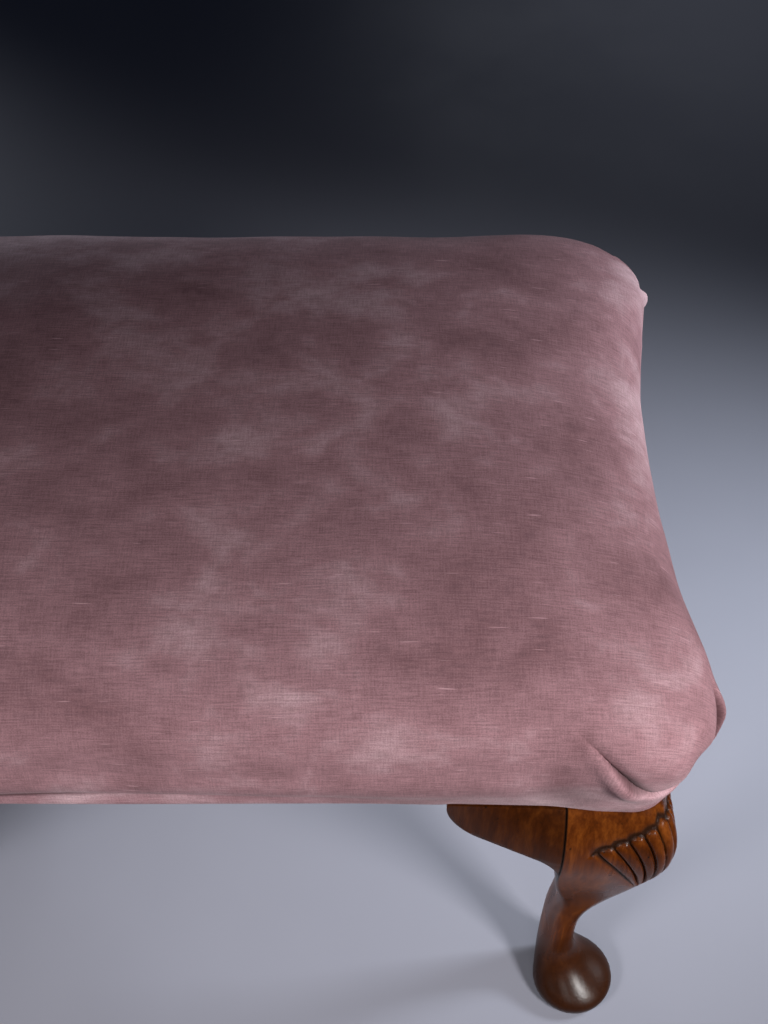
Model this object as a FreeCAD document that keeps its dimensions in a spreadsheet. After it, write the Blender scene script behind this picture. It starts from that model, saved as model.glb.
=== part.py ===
import FreeCAD, Part
import math
import os

import Sketcher

V = FreeCAD.Vector
UP = V(0, 0, 1)
DOWN = V(0, 0, -1)

# Driving sizes in millimetres. The floor is Z 0, the front of the stool is -Y and its length is X.
SIZES = {
    # Seat frame
    "frame_length": 654,
    "frame_depth": 418,
    "leg_height": 325,
    "rail_height": 60,
    "rail_thickness": 28,
    "rail_bevel": 6,
    "post_size": 50,
    # Cabriole legs, measured outward from the inner corner of the post
    "knee_projection": 23.5,
    "knee_drop": 45,
    "knee_top_setback": 15.5,
    "knee_return": 2,
    "knee_round": 14,
    "seam_round": 1,
    "ankle_height": 75,
    "ankle_size": 27.5,
    "ankle_setback": 8.5,
    "foot_diameter": 63,
    "foot_setback": 6.8,
    "foot_height": 18,
    "foot_edge_round": 4.5,
    "foot_shoulder": 2.5,
    "foot_overlap": 1,
    # Ear brackets
    "ear_length": 74,
    "ear_height": 66,
    "ear_tip_run": 20,
    "ear_tip_drop": 33,
    "ear_tip_bulge": 6.5,
    "ear_neck_run": 14,
    "ear_neck_drop": 46,
    "ear_neck_hollow": 3.6,
    "ear_tip_projection": 5,
    "ear_joint_gap": 0.3,
    # Dowels and screws
    "dowel_diameter": 9.5,
    "dowel_length": 50,
    "screw_shank": 4,
    "screw_head": 8,
    "screw_head_height": 2.5,
    "screw_slot": 1.2,
    "screw_bite": 16,
    "block_screw_grip": 12,
    "ear_screw_grip": 20,
    "ear_screw_reach": 36,
    "hole_clearance": 0.2,
    "head_clearance": 1,
    # Corner blocks
    "block_reach": 45,
    "block_height": 42,
    "block_lift": 4,
    "block_gap": 0.2,
    # Webbing and hessian
    "strap_width": 50,
    "strap_thickness": 1.6,
    "strap_weave_gap": 0.3,
    "strap_end_margin": 3,
    "strap_fold": 22,
    "hessian_thickness": 0.8,
    "hessian_margin": 10,
    "layer_gap": 0.4,
    # Tacks
    "tack_shank": 1.6,
    "tack_length": 10,
    "tack_head": 5,
    "tack_head_height": 0.8,
    "strap_tack_spread": 17,
    "cover_tack_inset": 20,
    "dust_tack_inset": 15,
    # Soft seat
    "hem_padding": 3,
    "side_bulge": 16,
    "edge_height": 60,
    "crown_height": 82,
    "end_fullness": 36,
    "end_hem_fullness": 14,
    "long_fullness": 9,
    "long_hem_fullness": 6,
    "corner_radius": 60,
    "hem_corner_radius": 24,
    "cover_thickness": 1.5,
    "cover_turn_under": 24,
    "cover_corner_lift": 0.3,
    "wadding_thickness": 10,
    "wadding_hem_gap": 10,
    # Dust cover
    "dust_thickness": 0.8,
    "dust_margin": 10,
    "dust_clearance": 3,
}

# Counts and shape exponents
LONG_STRAPS = 4
CROSS_STRAPS = 6
STRAP_TACKS = (-1, 0, 1)
LONG_COVER_TACKS = 9
END_COVER_TACKS = 4
LONG_DOWEL_LEVELS = (0.15, 0.55)
END_DOWEL_LEVELS = (0.35, 0.75)
LONG_SCREW_LEVEL = 0.35
END_SCREW_LEVEL = 0.55
KNEE_STEPS = (0, 0.3, 0.65, 1)
RETURN_STEPS = (0.5, 1)
SHIN_STEPS = (0, 0.14, 0.28, 0.42, 0.56, 0.7, 0.85, 1)
FLARE_STEPS = (0.3, 0.55, 0.75, 0.9, 1)
SHIN_LEAD = 0.8
FLARE_POWER = 3.4
ROUND_SHARE = 0.49
CROWN_POWER = 2.6
CROWN_STEPS = (16, 32, 47, 60, 72, 83)
SKIRT_STEPS = (0, 0.3, 0.65, 1)
LOFT_DEGREE = 3
CROWN_SQUARING = 1.35
CUT_MARGIN = 1
SIGNS = (-1, 1)

doc = FreeCAD.newDocument("vanity_stool")
sheet = doc.addObject("Spreadsheet::Sheet", "sizes")
for row, (alias, number) in enumerate(SIZES.items(), start=1):
    sheet.set(f"A{row}", alias)
    sheet.set(f"B{row}", str(number))
    sheet.setAlias(f"B{row}", alias)
doc.recompute()


def size(alias):
    """A driving size, read back from the sheet."""
    return float(sheet.get(alias))


# Places that several pieces share
HALF_LENGTH = size("frame_length") / 2
HALF_DEPTH = size("frame_depth") / 2
SEAM_X = HALF_LENGTH - size("post_size")
SEAM_Y = HALF_DEPTH - size("post_size")
RAIL_BOTTOM = size("leg_height")
RAIL_TOP = RAIL_BOTTOM + size("rail_height")
RAIL_MID = size("rail_thickness") / 2
KNEE_Z = RAIL_BOTTOM - size("knee_drop")
KNEE_OUT = size("post_size") + size("knee_projection")
EAR_BOTTOM = RAIL_BOTTOM - size("ear_height")
STRAP_PILE = RAIL_TOP + 2 * size("strap_thickness")
HESSIAN_Z = STRAP_PILE + size("tack_head_height") + size("layer_gap")
STUFFING_Z = HESSIAN_Z + size("hessian_thickness") + size("layer_gap")
TURN_UNDER_Z = RAIL_BOTTOM - size("cover_thickness")
DUST_TOP = TURN_UNDER_Z - size("tack_head_height") - size("layer_gap")
DUST_BOTTOM = DUST_TOP - size("dust_thickness")

# The same places as formulas for the bound pieces
F_HALF_LENGTH = "(sizes.frame_length / 2)"
F_HALF_DEPTH = "(sizes.frame_depth / 2)"
F_SEAM_X = f"({F_HALF_LENGTH} - sizes.post_size)"
F_SEAM_Y = f"({F_HALF_DEPTH} - sizes.post_size)"
F_KNEE_OUT = "(sizes.post_size + sizes.knee_projection)"
F_KNEE_Z = "(sizes.leg_height - sizes.knee_drop)"
F_STRAP_PILE = "(sizes.leg_height + sizes.rail_height + 2 * sizes.strap_thickness)"
F_HESSIAN_Z = f"({F_STRAP_PILE} + sizes.tack_head_height + sizes.layer_gap)"
F_DUST_BOTTOM = (
    "(sizes.leg_height - sizes.cover_thickness - sizes.tack_head_height"
    " - sizes.layer_gap - sizes.dust_thickness)"
)

sub_parts = []


def finished(piece):
    """Enter a document object as one of the stool's sub-parts."""
    sub_parts.append(piece)
    return piece


def shaped(label, shape):
    """A sub-part or tool whose shape comes straight from its sizes."""
    feature = doc.addObject("Part::Feature", label)
    feature.Shape = shape
    feature.Placement = FreeCAD.Placement()
    return feature


def mirrored(label, source, normal):
    """A copy of a piece on the other side of the stool's middle."""
    copy = doc.addObject("Part::Mirroring", label)
    copy.Source = source
    copy.Normal = normal
    return copy


def cut(label, base, tool):
    """A piece with its holes taken out."""
    result = doc.addObject("Part::Cut", label)
    result.Base = base
    result.Tool = tool
    return result


def origin_plane(body, role):
    """One of a body's own origin planes."""
    return next(item for item in body.Origin.OriginFeatures if item.Role == role)


def outline_sketch(body, label, role, points, arcs=None, lift=None):
    """A closed outline whose corners and arc radii are bound to formulas.

    points holds pairs of formulas. arcs maps the number of a side to its radius formula and to the
    side on which it bulges: 1 to the left of travel, -1 to the right.
    """
    arcs = arcs or {}
    sketch = body.newObject("Sketcher::SketchObject", label)
    sketch.AttachmentSupport = [(origin_plane(body, role), "")]
    sketch.MapMode = "FlatFace"
    if lift:
        sketch.setExpression("AttachmentOffset.Base.z", lift)
    corners = [V(body.evalExpression(x), body.evalExpression(y), 0) for x, y in points]
    ends = []
    for side, start in enumerate(corners):
        stop = corners[(side + 1) % len(corners)]
        if side not in arcs:
            sketch.addGeometry(Part.LineSegment(start, stop), False)
            ends.append((1, 2))
            continue
        formula, bulge = arcs[side]
        radius = body.evalExpression(formula)
        half_chord = (stop - start).Length / 2
        along = (stop - start).normalize()
        left = V(-along.y, along.x, 0)
        to_center = math.sqrt(max(radius ** 2 - half_chord ** 2, 0))
        center = (start + stop) / 2 - left * bulge * to_center
        from_point, to_point = (stop, start) if bulge > 0 else (start, stop)
        first = math.atan2(from_point.y - center.y, from_point.x - center.x)
        last = math.atan2(to_point.y - center.y, to_point.x - center.x)
        circle = Part.Circle(center, UP, radius)
        sketch.addGeometry(Part.ArcOfCircle(circle, first, last), False)
        ends.append((2, 1) if bulge > 0 else (1, 2))
    for side in range(len(corners)):
        following = (side + 1) % len(corners)
        sketch.addConstraint(
            Sketcher.Constraint("Coincident", side, ends[side][1], following, ends[following][0])
        )
    for side, (x, y) in enumerate(points):
        for kind, formula in (("DistanceX", x), ("DistanceY", y)):
            value = body.evalExpression(formula)
            number = sketch.addConstraint(
                Sketcher.Constraint(kind, -1, 1, side, ends[side][0], value)
            )
            sketch.setExpression(f"Constraints[{number}]", formula)
    for side, (formula, bulge) in arcs.items():
        number = sketch.addConstraint(
            Sketcher.Constraint("Radius", side, body.evalExpression(formula))
        )
        sketch.setExpression(f"Constraints[{number}]", formula)
    return sketch


def padded_body(label, sketch_arguments, length, symmetric=False):
    """A body made of one padded outline."""
    body = doc.addObject("PartDesign::Body", label)
    sketch = outline_sketch(body, label + "_outline", *sketch_arguments)
    pad = body.newObject("PartDesign::Pad", label + "_pad")
    pad.Profile = sketch
    pad.setExpression("Length", length)
    pad.SideType = "Symmetric" if symmetric else "One side"
    return body


def drill(place, direction, diameter, depth):
    """A round hole as a solid to take away."""
    return Part.makeCylinder(diameter / 2, depth, place, direction)


def smooth_solid(sections):
    """A closed solid through a row of sections."""
    return Part.makeLoft(sections, True, False, False, LOFT_DEGREE)


def placed(shape, place, direction):
    """A copy of a shape made along +Z, turned along a direction and moved."""
    copy = shape.copy()
    copy.Placement = FreeCAD.Placement(place, FreeCAD.Rotation(UP, direction))
    return copy


# Where the fasteners go: each function gives every place for one kind of fastener

def strap_places(count, half_span):
    """Evenly spread centre lines of parallel straps."""
    pitch = 2 * half_span / count
    return [-half_span + pitch * (number + 0.5) for number in range(count)]


LONG_STRAP_Y = strap_places(LONG_STRAPS, SEAM_Y)
CROSS_STRAP_X = strap_places(CROSS_STRAPS, SEAM_X)
STRAP_TACK_X = HALF_LENGTH - size("strap_end_margin") - size("strap_fold") / 2
STRAP_TACK_Y = HALF_DEPTH - size("strap_end_margin") - size("strap_fold") / 2


def strap_tack_offsets(center):
    """Places of a strap's tacks across its width."""
    return [center + step * size("strap_tack_spread") for step in STRAP_TACKS]


def spread(count, half_span):
    """Evenly spread places from end to end of a span."""
    return [half_span * (2 * number / (count - 1) - 1) for number in range(count)]


def between(places):
    """The middles between neighbouring places."""
    return [(low + high) / 2 for low, high in zip(places, places[1:])]


TACK_ROOM = size("dust_clearance") + size("tack_head")
LONG_COVER_TACK_X = spread(LONG_COVER_TACKS, SEAM_X - size("ear_length") - TACK_ROOM)
END_COVER_TACK_Y = spread(END_COVER_TACKS, SEAM_Y - size("ear_length") - TACK_ROOM)
LONG_DUST_TACK_X = between(LONG_COVER_TACK_X)
END_DUST_TACK_Y = between(END_COVER_TACK_Y)


def level(share):
    """A height on the rails."""
    return RAIL_BOTTOM + share * size("rail_height")


# Solids of the fasteners, made along +Z from the underside of the head

def tack_solid():
    """An upholstery tack, head below Z 0 and shank above."""
    head = Part.makeCylinder(
        size("tack_head") / 2, size("tack_head_height"), V(0, 0, -size("tack_head_height"))
    )
    return head.fuse(Part.makeCylinder(size("tack_shank") / 2, size("tack_length"))).removeSplitter()


def screw_solid(grip):
    """A slotted wood screw, head below Z 0, with a shank for the grip and the bite."""
    head_height = size("screw_head_height")
    head = Part.makeCylinder(size("screw_head") / 2, head_height, V(0, 0, -head_height))
    slot = Part.makeBox(
        size("screw_head") * 2,
        size("screw_slot"),
        size("screw_slot"),
        V(-size("screw_head"), -size("screw_slot") / 2, -head_height),
    )
    shank = Part.makeCylinder(size("screw_shank") / 2, grip + size("screw_bite"))
    return head.cut(slot).fuse(shank).removeSplitter()


def tack_hole(place, direction):
    """The hole that a tack leaves, from the underside of its head."""
    return drill(
        place,
        direction,
        size("tack_shank") + size("hole_clearance"),
        size("tack_length") + size("hole_clearance"),
    )


def screw_hole(place, direction, grip):
    """The hole for a screw's shank, from the underside of its head."""
    return drill(
        place,
        direction,
        size("screw_shank") + size("hole_clearance"),
        grip + size("screw_bite") + size("hole_clearance"),
    )


def screw_well(place, direction):
    """The wide hole that lets a screw's head in."""
    depth = size("block_reach") + size("ear_height")
    width = size("screw_head") + size("head_clearance")
    return drill(place, direction.negative(), width, depth)


def dowel_holes():
    """Dowel holes at the right-hand end of a long rail and the front end of an end rail."""
    diameter = size("dowel_diameter") + size("hole_clearance")
    depth = size("dowel_length") + size("hole_clearance")
    holes = []
    for share in LONG_DOWEL_LEVELS:
        place = V(SEAM_X - depth / 2, -HALF_DEPTH + RAIL_MID, level(share))
        holes.append(drill(place, V(1, 0, 0), diameter, depth))
    for share in END_DOWEL_LEVELS:
        place = V(HALF_LENGTH - RAIL_MID, -SEAM_Y + depth / 2, level(share))
        holes.append(drill(place, V(0, -1, 0), diameter, depth))
    return Part.makeCompound(holes)


def about_middle(shape):
    """A shape and its three mirror images about the stool's middle."""
    across = shape.mirror(V(0, 0, 0), V(1, 0, 0))
    both = [shape, across]
    return both + [item.mirror(V(0, 0, 0), V(0, 1, 0)) for item in both]


def block_screw_places():
    """Head places and directions of the front right corner block's two screws."""
    inner_x = HALF_LENGTH - size("rail_thickness")
    inner_y = HALF_DEPTH - size("rail_thickness")
    half_reach = size("block_reach") / 2
    grip = size("block_screw_grip")
    into_long = V(SEAM_X - half_reach, -inner_y + grip, level(LONG_SCREW_LEVEL))
    into_end = V(inner_x - grip, -SEAM_Y + half_reach, level(END_SCREW_LEVEL))
    return [(into_long, V(0, -1, 0)), (into_end, V(1, 0, 0))]


def ear_screw_places():
    """Head places of the screws in the front right leg's two ears."""
    head_z = RAIL_BOTTOM - size("ear_screw_grip")
    reach = size("ear_screw_reach")
    return [
        V(SEAM_X - reach, -HALF_DEPTH + RAIL_MID, head_z),
        V(HALF_LENGTH - RAIL_MID, -SEAM_Y + reach, head_z),
    ]


# Legs

def knee_profile(z):
    """How far the knee's face stands out at a height at or above the foot of the ears."""
    rise = z - KNEE_Z
    run = size("knee_drop") if rise > 0 else KNEE_Z - EAR_BOTTOM
    drop = size("knee_top_setback") if rise > 0 else size("knee_return")
    radius = (run ** 2 + drop ** 2) / (2 * drop)
    return KNEE_OUT - radius + math.sqrt(radius ** 2 - rise ** 2)


def ease(share):
    """A smooth step from 0 to 1."""
    return share * share * (3 - 2 * share)


def leg_section(z, low, high, outer_round, seam_round):
    """A square section, low to high both ways, with its own radius at the outer corner."""
    corners = [
        (V(low, low, 0), V(1, 0, 0), V(0, 1, 0), seam_round),
        (V(high, low, 0), V(0, 1, 0), V(-1, 0, 0), seam_round),
        (V(high, high, 0), V(-1, 0, 0), V(0, -1, 0), outer_round),
        (V(low, high, 0), V(0, -1, 0), V(1, 0, 0), seam_round),
    ]
    diagonal = 1 - math.sqrt(0.5)
    arcs = []
    for corner, onward, back, radius in corners:
        points = (
            corner + back * radius,
            corner + (onward + back) * (radius * diagonal),
            corner + onward * radius,
        )
        arcs.append([V(SEAM_X + p.x, -SEAM_Y - p.y, z) for p in points])
    edges = []
    for number, arc in enumerate(arcs):
        following = arcs[(number + 1) % len(arcs)]
        edges.append(Part.Arc(*arc).toShape())
        edges.append(Part.makeLine(arc[2], following[0]))
    return Part.Wire(edges)


def knee_sections():
    """Sections from the top of the knee to the foot of the ears, flat where the ears are glued."""
    heights = [RAIL_BOTTOM - share * size("knee_drop") for share in KNEE_STEPS]
    heights += [KNEE_Z - share * (KNEE_Z - EAR_BOTTOM) for share in RETURN_STEPS]
    return [
        leg_section(z, 0, knee_profile(z), size("knee_round"), size("seam_round")) for z in heights
    ]


def shin_sections():
    """Sections from the foot of the ears down to the ankle and out into the pad."""
    seam = size("seam_round")
    ankle_z = size("ankle_height")
    ankle_low = size("ankle_setback")
    ankle_high = ankle_low + size("ankle_size")
    ankle_round = size("ankle_size") * ROUND_SHARE
    # The shin runs on from the knee's slope and turns upright at the ankle
    span = EAR_BOTTOM - ankle_z
    start = knee_profile(EAR_BOTTOM)
    slope = 2 * size("knee_return") / (KNEE_Z - EAR_BOTTOM)
    sections = []
    for share in SHIN_STEPS:
        blend = ease(share)
        carry = share * (1 - share) ** 2 * slope * span
        high = start + (ankle_high - start) * blend - carry
        low = ankle_low * ease(share ** SHIN_LEAD)
        outer = size("knee_round") + (ankle_round - size("knee_round")) * blend
        inner = seam + (ankle_round - seam) * ease(share ** SHIN_LEAD)
        sections.append(leg_section(EAR_BOTTOM - share * span, low, high, outer, inner))
    # Below the ankle the leg flares to the top of the pad, and ends just inside it
    pad_low = size("foot_setback") + size("foot_shoulder") + size("foot_overlap")
    pad_high = pad_low + size("foot_diameter") - 2 * size("foot_shoulder") - 2 * size("foot_overlap")
    drop = ankle_z - size("foot_height") + size("foot_overlap")
    for share in FLARE_STEPS:
        flare = share ** FLARE_POWER
        low = ankle_low + (pad_low - ankle_low) * flare
        high = ankle_high + (pad_high - ankle_high) * flare
        corner = (high - low) * ROUND_SHARE
        sections.append(leg_section(ankle_z - share * drop, low, high, corner, corner))
    return sections


def pad_foot():
    """The turned pad, fullest at half its height."""
    radius = size("foot_diameter") / 2
    height = size("foot_height")
    base = V(radius - size("foot_edge_round"), 0, 0)
    rim = V(radius, 0, height / 2)
    shoulder = V(radius - size("foot_shoulder"), 0, height)
    profile = Part.Wire(
        [
            Part.makeLine(V(0, 0, 0), base),
            Part.Arc(base, rim, shoulder).toShape(),
            Part.makeLine(shoulder, V(0, 0, height)),
            Part.makeLine(V(0, 0, height), V(0, 0, 0)),
        ]
    )
    pad = Part.Face(profile).revolve(V(0, 0, 0), UP, 360)
    center = size("foot_setback") + radius
    pad.translate(V(SEAM_X + center, -SEAM_Y - center, 0))
    return pad


def leg_shape():
    """Front right leg: knee, shin, pad foot, post and dowel holes."""
    seam = size("seam_round")
    post_section = leg_section(RAIL_BOTTOM, 0, size("post_size"), seam, seam)
    post = Part.Face(post_section).extrude(V(0, 0, size("rail_height")))
    knee = smooth_solid(knee_sections())
    shin = smooth_solid(shin_sections())
    return knee.fuse([shin, pad_foot(), post]).cut(dowel_holes())


# Ears

def ear_blank():
    """Bracket beside the front right leg, along the front, before its screw hole."""
    tip_radius = (
        "((pow(sizes.ear_tip_run; 2) + pow(sizes.ear_tip_drop; 2)) / (8 * sizes.ear_tip_bulge)"
        " + sizes.ear_tip_bulge / 2)"
    )
    neck_fall = "(sizes.ear_height - sizes.ear_neck_drop)"
    neck_radius = (
        f"((pow(sizes.ear_neck_run; 2) + pow({neck_fall}; 2)) / (8 * sizes.ear_neck_hollow)"
        " + sizes.ear_neck_hollow / 2)"
    )
    seam = f"({F_SEAM_X} - sizes.ear_joint_gap)"
    tip = f"({F_SEAM_X} - sizes.ear_length)"
    side_view = [
        (seam, "sizes.leg_height"),
        (tip, "sizes.leg_height"),
        (f"{tip} + sizes.ear_tip_run", "sizes.leg_height - sizes.ear_tip_drop"),
        (f"{seam} - sizes.ear_neck_run", "sizes.leg_height - sizes.ear_neck_drop"),
        (seam, "sizes.leg_height - sizes.ear_height"),
    ]
    arcs = {1: (tip_radius, -1), 3: (neck_radius, 1)}
    back = f"({F_HALF_DEPTH} - sizes.rail_thickness)"
    side = padded_body(
        "ear_side",
        ("XZ_Plane", side_view, arcs, back),
        "sizes.rail_thickness + sizes.knee_projection + sizes.ear_tip_projection",
    )
    # The front runs from the face of the knee at the seam to a flat face at the tip
    top = "sizes.leg_height"
    bottom = "(sizes.leg_height - sizes.ear_height)"
    fullest = f"-({F_SEAM_Y} + {F_KNEE_OUT})"
    tip_face = f"-({F_HALF_DEPTH} + sizes.ear_tip_projection)"
    below_knee = "(sizes.ear_height - sizes.knee_drop)"
    lower = f"((pow({below_knee}; 2) + pow(sizes.knee_return; 2)) / (2 * sizes.knee_return))"
    upper = (
        "((pow(sizes.knee_drop; 2) + pow(sizes.knee_top_setback; 2))"
        " / (2 * sizes.knee_top_setback))"
    )
    seam_section = [
        (f"-{back}", top),
        (f"-{back}", bottom),
        (f"{fullest} + sizes.knee_return", bottom),
        (fullest, F_KNEE_Z),
        (f"{fullest} + sizes.knee_top_setback", top),
    ]
    tip_section = [
        (f"-{back}", top),
        (f"-{back}", bottom),
        (tip_face, bottom),
        (tip_face, F_KNEE_Z),
        (tip_face, top),
    ]
    depth = doc.addObject("PartDesign::Body", "ear_depth")
    knee_arcs = {2: (lower, 1), 3: (upper, 1)}
    first = outline_sketch(depth, "ear_seam_section", "YZ_Plane", seam_section, knee_arcs, seam)
    last = outline_sketch(depth, "ear_tip_section", "YZ_Plane", tip_section, None, tip)
    loft = depth.newObject("PartDesign::AdditiveLoft", "ear_loft")
    loft.Profile = first
    loft.Sections = [last]
    loft.Ruled = True
    blank = doc.addObject("Part::Common", "ear_blank")
    blank.Base = side
    blank.Tool = depth
    return blank


def ear_tool():
    """Screw hole and well of the front right leg's long ear."""
    head = ear_screw_places()[0]
    holes = [screw_hole(head, UP, size("ear_screw_grip")), screw_well(head, UP)]
    return shaped("ear_tool", Part.makeCompound(holes))


def make_legs_and_ears():
    """Four legs and eight ears, each made once and mirrored."""
    leg = finished(shaped("leg_front_right", leg_shape()))
    long_ear = finished(cut("ear_long_front_right", ear_blank(), ear_tool()))
    end_ear = finished(mirrored("ear_end_front_right", long_ear, V(1, 1, 0)))
    end_ear.setExpression("Base.x", F_SEAM_X)
    end_ear.setExpression("Base.y", f"-{F_SEAM_Y}")
    for kind, piece in (("leg", leg), ("ear_long", long_ear), ("ear_end", end_ear)):
        left = finished(mirrored(kind + "_front_left", piece, V(1, 0, 0)))
        finished(mirrored(kind + "_back_right", piece, V(0, 1, 0)))
        finished(mirrored(kind + "_back_left", left, V(0, 1, 0)))


# Seat frame

def rail_section(face, inside):
    """Section of a rail with a bevel for tacking along its outer top edge.

    face is the formula of the outer face and inside is 1 or -1, towards the stool's middle.
    """
    sign = "+" if inside > 0 else "-"
    top = "(sizes.leg_height + sizes.rail_height)"
    return [
        (face, "sizes.leg_height"),
        (f"{face} {sign} sizes.rail_thickness", "sizes.leg_height"),
        (f"{face} {sign} sizes.rail_thickness", top),
        (f"{face} {sign} sizes.rail_bevel", top),
        (face, f"{top} - sizes.rail_bevel"),
    ]


def front_rail_tool():
    """Every hole in the front rail."""
    holes = []
    for hole in about_middle(dowel_holes())[:2]:
        holes.extend(hole.Solids)
    head, direction = block_screw_places()[0]
    ear_head = ear_screw_places()[0]
    for side in SIGNS:
        place = V(side * head.x, head.y, head.z)
        holes.append(screw_hole(place, direction, size("block_screw_grip")))
        place = V(side * ear_head.x, ear_head.y, ear_head.z)
        holes.append(screw_hole(place, UP, size("ear_screw_grip")))
    for center in CROSS_STRAP_X:
        for x in strap_tack_offsets(center):
            holes.append(tack_hole(V(x, -STRAP_TACK_Y, STRAP_PILE), DOWN))
    for x in LONG_COVER_TACK_X:
        y = -HALF_DEPTH + size("cover_tack_inset")
        holes.append(tack_hole(V(x, y, TURN_UNDER_Z), UP))
    for x in LONG_DUST_TACK_X:
        y = -HALF_DEPTH + size("dust_tack_inset")
        holes.append(tack_hole(V(x, y, DUST_BOTTOM), UP))
    return shaped("front_rail_tool", Part.makeCompound(holes))


def right_rail_tool():
    """Every hole in the right rail."""
    holes = []
    images = about_middle(dowel_holes())
    for hole in (images[0], images[2]):
        holes.extend(hole.Solids)
    head, direction = block_screw_places()[1]
    ear_head = ear_screw_places()[1]
    for side in SIGNS:
        place = V(head.x, side * head.y, head.z)
        holes.append(screw_hole(place, direction, size("block_screw_grip")))
        place = V(ear_head.x, side * ear_head.y, ear_head.z)
        holes.append(screw_hole(place, UP, size("ear_screw_grip")))
    for center in LONG_STRAP_Y:
        for y in strap_tack_offsets(center):
            holes.append(tack_hole(V(STRAP_TACK_X, y, STRAP_PILE), DOWN))
    for y in END_COVER_TACK_Y:
        x = HALF_LENGTH - size("cover_tack_inset")
        holes.append(tack_hole(V(x, y, TURN_UNDER_Z), UP))
    for y in END_DUST_TACK_Y:
        x = HALF_LENGTH - size("dust_tack_inset")
        holes.append(tack_hole(V(x, y, DUST_BOTTOM), UP))
    return shaped("right_rail_tool", Part.makeCompound(holes))


def make_rails():
    """Four rails between the posts."""
    front_blank = padded_body(
        "front_rail_blank",
        ("YZ_Plane", rail_section(f"-{F_HALF_DEPTH}", 1)),
        "sizes.frame_length - 2 * sizes.post_size",
        True,
    )
    right_blank = padded_body(
        "right_rail_blank",
        ("XZ_Plane", rail_section(F_HALF_LENGTH, -1)),
        "sizes.frame_depth - 2 * sizes.post_size",
        True,
    )
    front = finished(cut("rail_front", front_blank, front_rail_tool()))
    right = finished(cut("rail_right", right_blank, right_rail_tool()))
    finished(mirrored("rail_back", front, V(0, 1, 0)))
    finished(mirrored("rail_left", right, V(1, 0, 0)))


def make_corner_blocks():
    """Blocks glued and screwed into the angles of the rails, round the posts."""
    post_x = f"({F_SEAM_X} - sizes.block_gap)"
    post_y = f"-({F_SEAM_Y} - sizes.block_gap)"
    rail_x = f"({F_HALF_LENGTH} - sizes.rail_thickness - sizes.block_gap)"
    rail_y = f"-({F_HALF_DEPTH} - sizes.rail_thickness - sizes.block_gap)"
    plan = [
        (post_x, rail_y),
        (post_x, post_y),
        (rail_x, post_y),
        (rail_x, f"{post_y} + sizes.block_reach"),
        (f"{post_x} - sizes.block_reach", rail_y),
    ]
    blank = padded_body(
        "corner_block_blank",
        ("XY_Plane", plan, None, "sizes.leg_height + sizes.block_lift"),
        "sizes.block_height",
    )
    holes = []
    for head, direction in block_screw_places():
        holes.append(screw_hole(head, direction, size("block_screw_grip")))
        holes.append(screw_well(head, direction))
    tool = shaped("corner_block_tool", Part.makeCompound(holes))
    front_right = finished(cut("corner_block_front_right", blank, tool))
    front_left = finished(mirrored("corner_block_front_left", front_right, V(1, 0, 0)))
    finished(mirrored("corner_block_back_right", front_right, V(0, 1, 0)))
    finished(mirrored("corner_block_back_left", front_left, V(0, 1, 0)))


def make_dowels_and_screws():
    """Groups of like fasteners."""
    half = size("dowel_length") / 2
    radius = size("dowel_diameter") / 2
    dowels = []
    for share in LONG_DOWEL_LEVELS:
        place = V(SEAM_X - half, -HALF_DEPTH + RAIL_MID, level(share))
        dowels.append(Part.makeCylinder(radius, 2 * half, place, V(1, 0, 0)))
    for share in END_DOWEL_LEVELS:
        place = V(HALF_LENGTH - RAIL_MID, -SEAM_Y + half, level(share))
        dowels.append(Part.makeCylinder(radius, 2 * half, place, V(0, -1, 0)))
    block_screw = screw_solid(size("block_screw_grip"))
    block_screws = [placed(block_screw, place, way) for place, way in block_screw_places()]
    ear_screw = screw_solid(size("ear_screw_grip"))
    ear_screws = [placed(ear_screw, place, UP) for place in ear_screw_places()]
    groups = (
        ("rail_dowels", dowels),
        ("corner_block_screws", block_screws),
        ("ear_screws", ear_screws),
    )
    for label, solids in groups:
        images = []
        for solid in solids:
            images.extend(about_middle(solid))
        finished(shaped(label, Part.makeCompound(images)))


# Webbing

def strap_shape(half_frame, crossings, over_first):
    """A strap along X with folded ends, weaving over and under the straps that cross it."""
    thickness = size("strap_thickness")
    lift = (thickness + size("strap_weave_gap")) / 2
    flat = size("strap_width") / 2 + size("strap_weave_gap")
    end = half_frame - size("strap_end_margin")
    fold = end - size("strap_fold")
    inner = half_frame - size("rail_thickness")
    weave = [(-inner, 0)]
    height = lift if over_first else -lift
    for center in crossings:
        weave.append((center - flat, height))
        weave.append((center + flat, height))
        height = -height
    weave.append((inner, 0))
    lower = [(-end, 0)] + weave + [(end, 0)]
    upper = [(-end, 2 * thickness), (-fold, 2 * thickness), (-fold, thickness)]
    upper += [(x, z + thickness) for x, z in weave]
    upper += [(fold, thickness), (fold, 2 * thickness), (end, 2 * thickness)]
    half_width = size("strap_width") / 2
    points = [V(x, -half_width, RAIL_TOP + z) for x, z in lower + upper[::-1]]
    face = Part.Face(Part.makePolygon(points + points[:1]))
    return face.extrude(V(0, 2 * half_width, 0))


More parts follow.
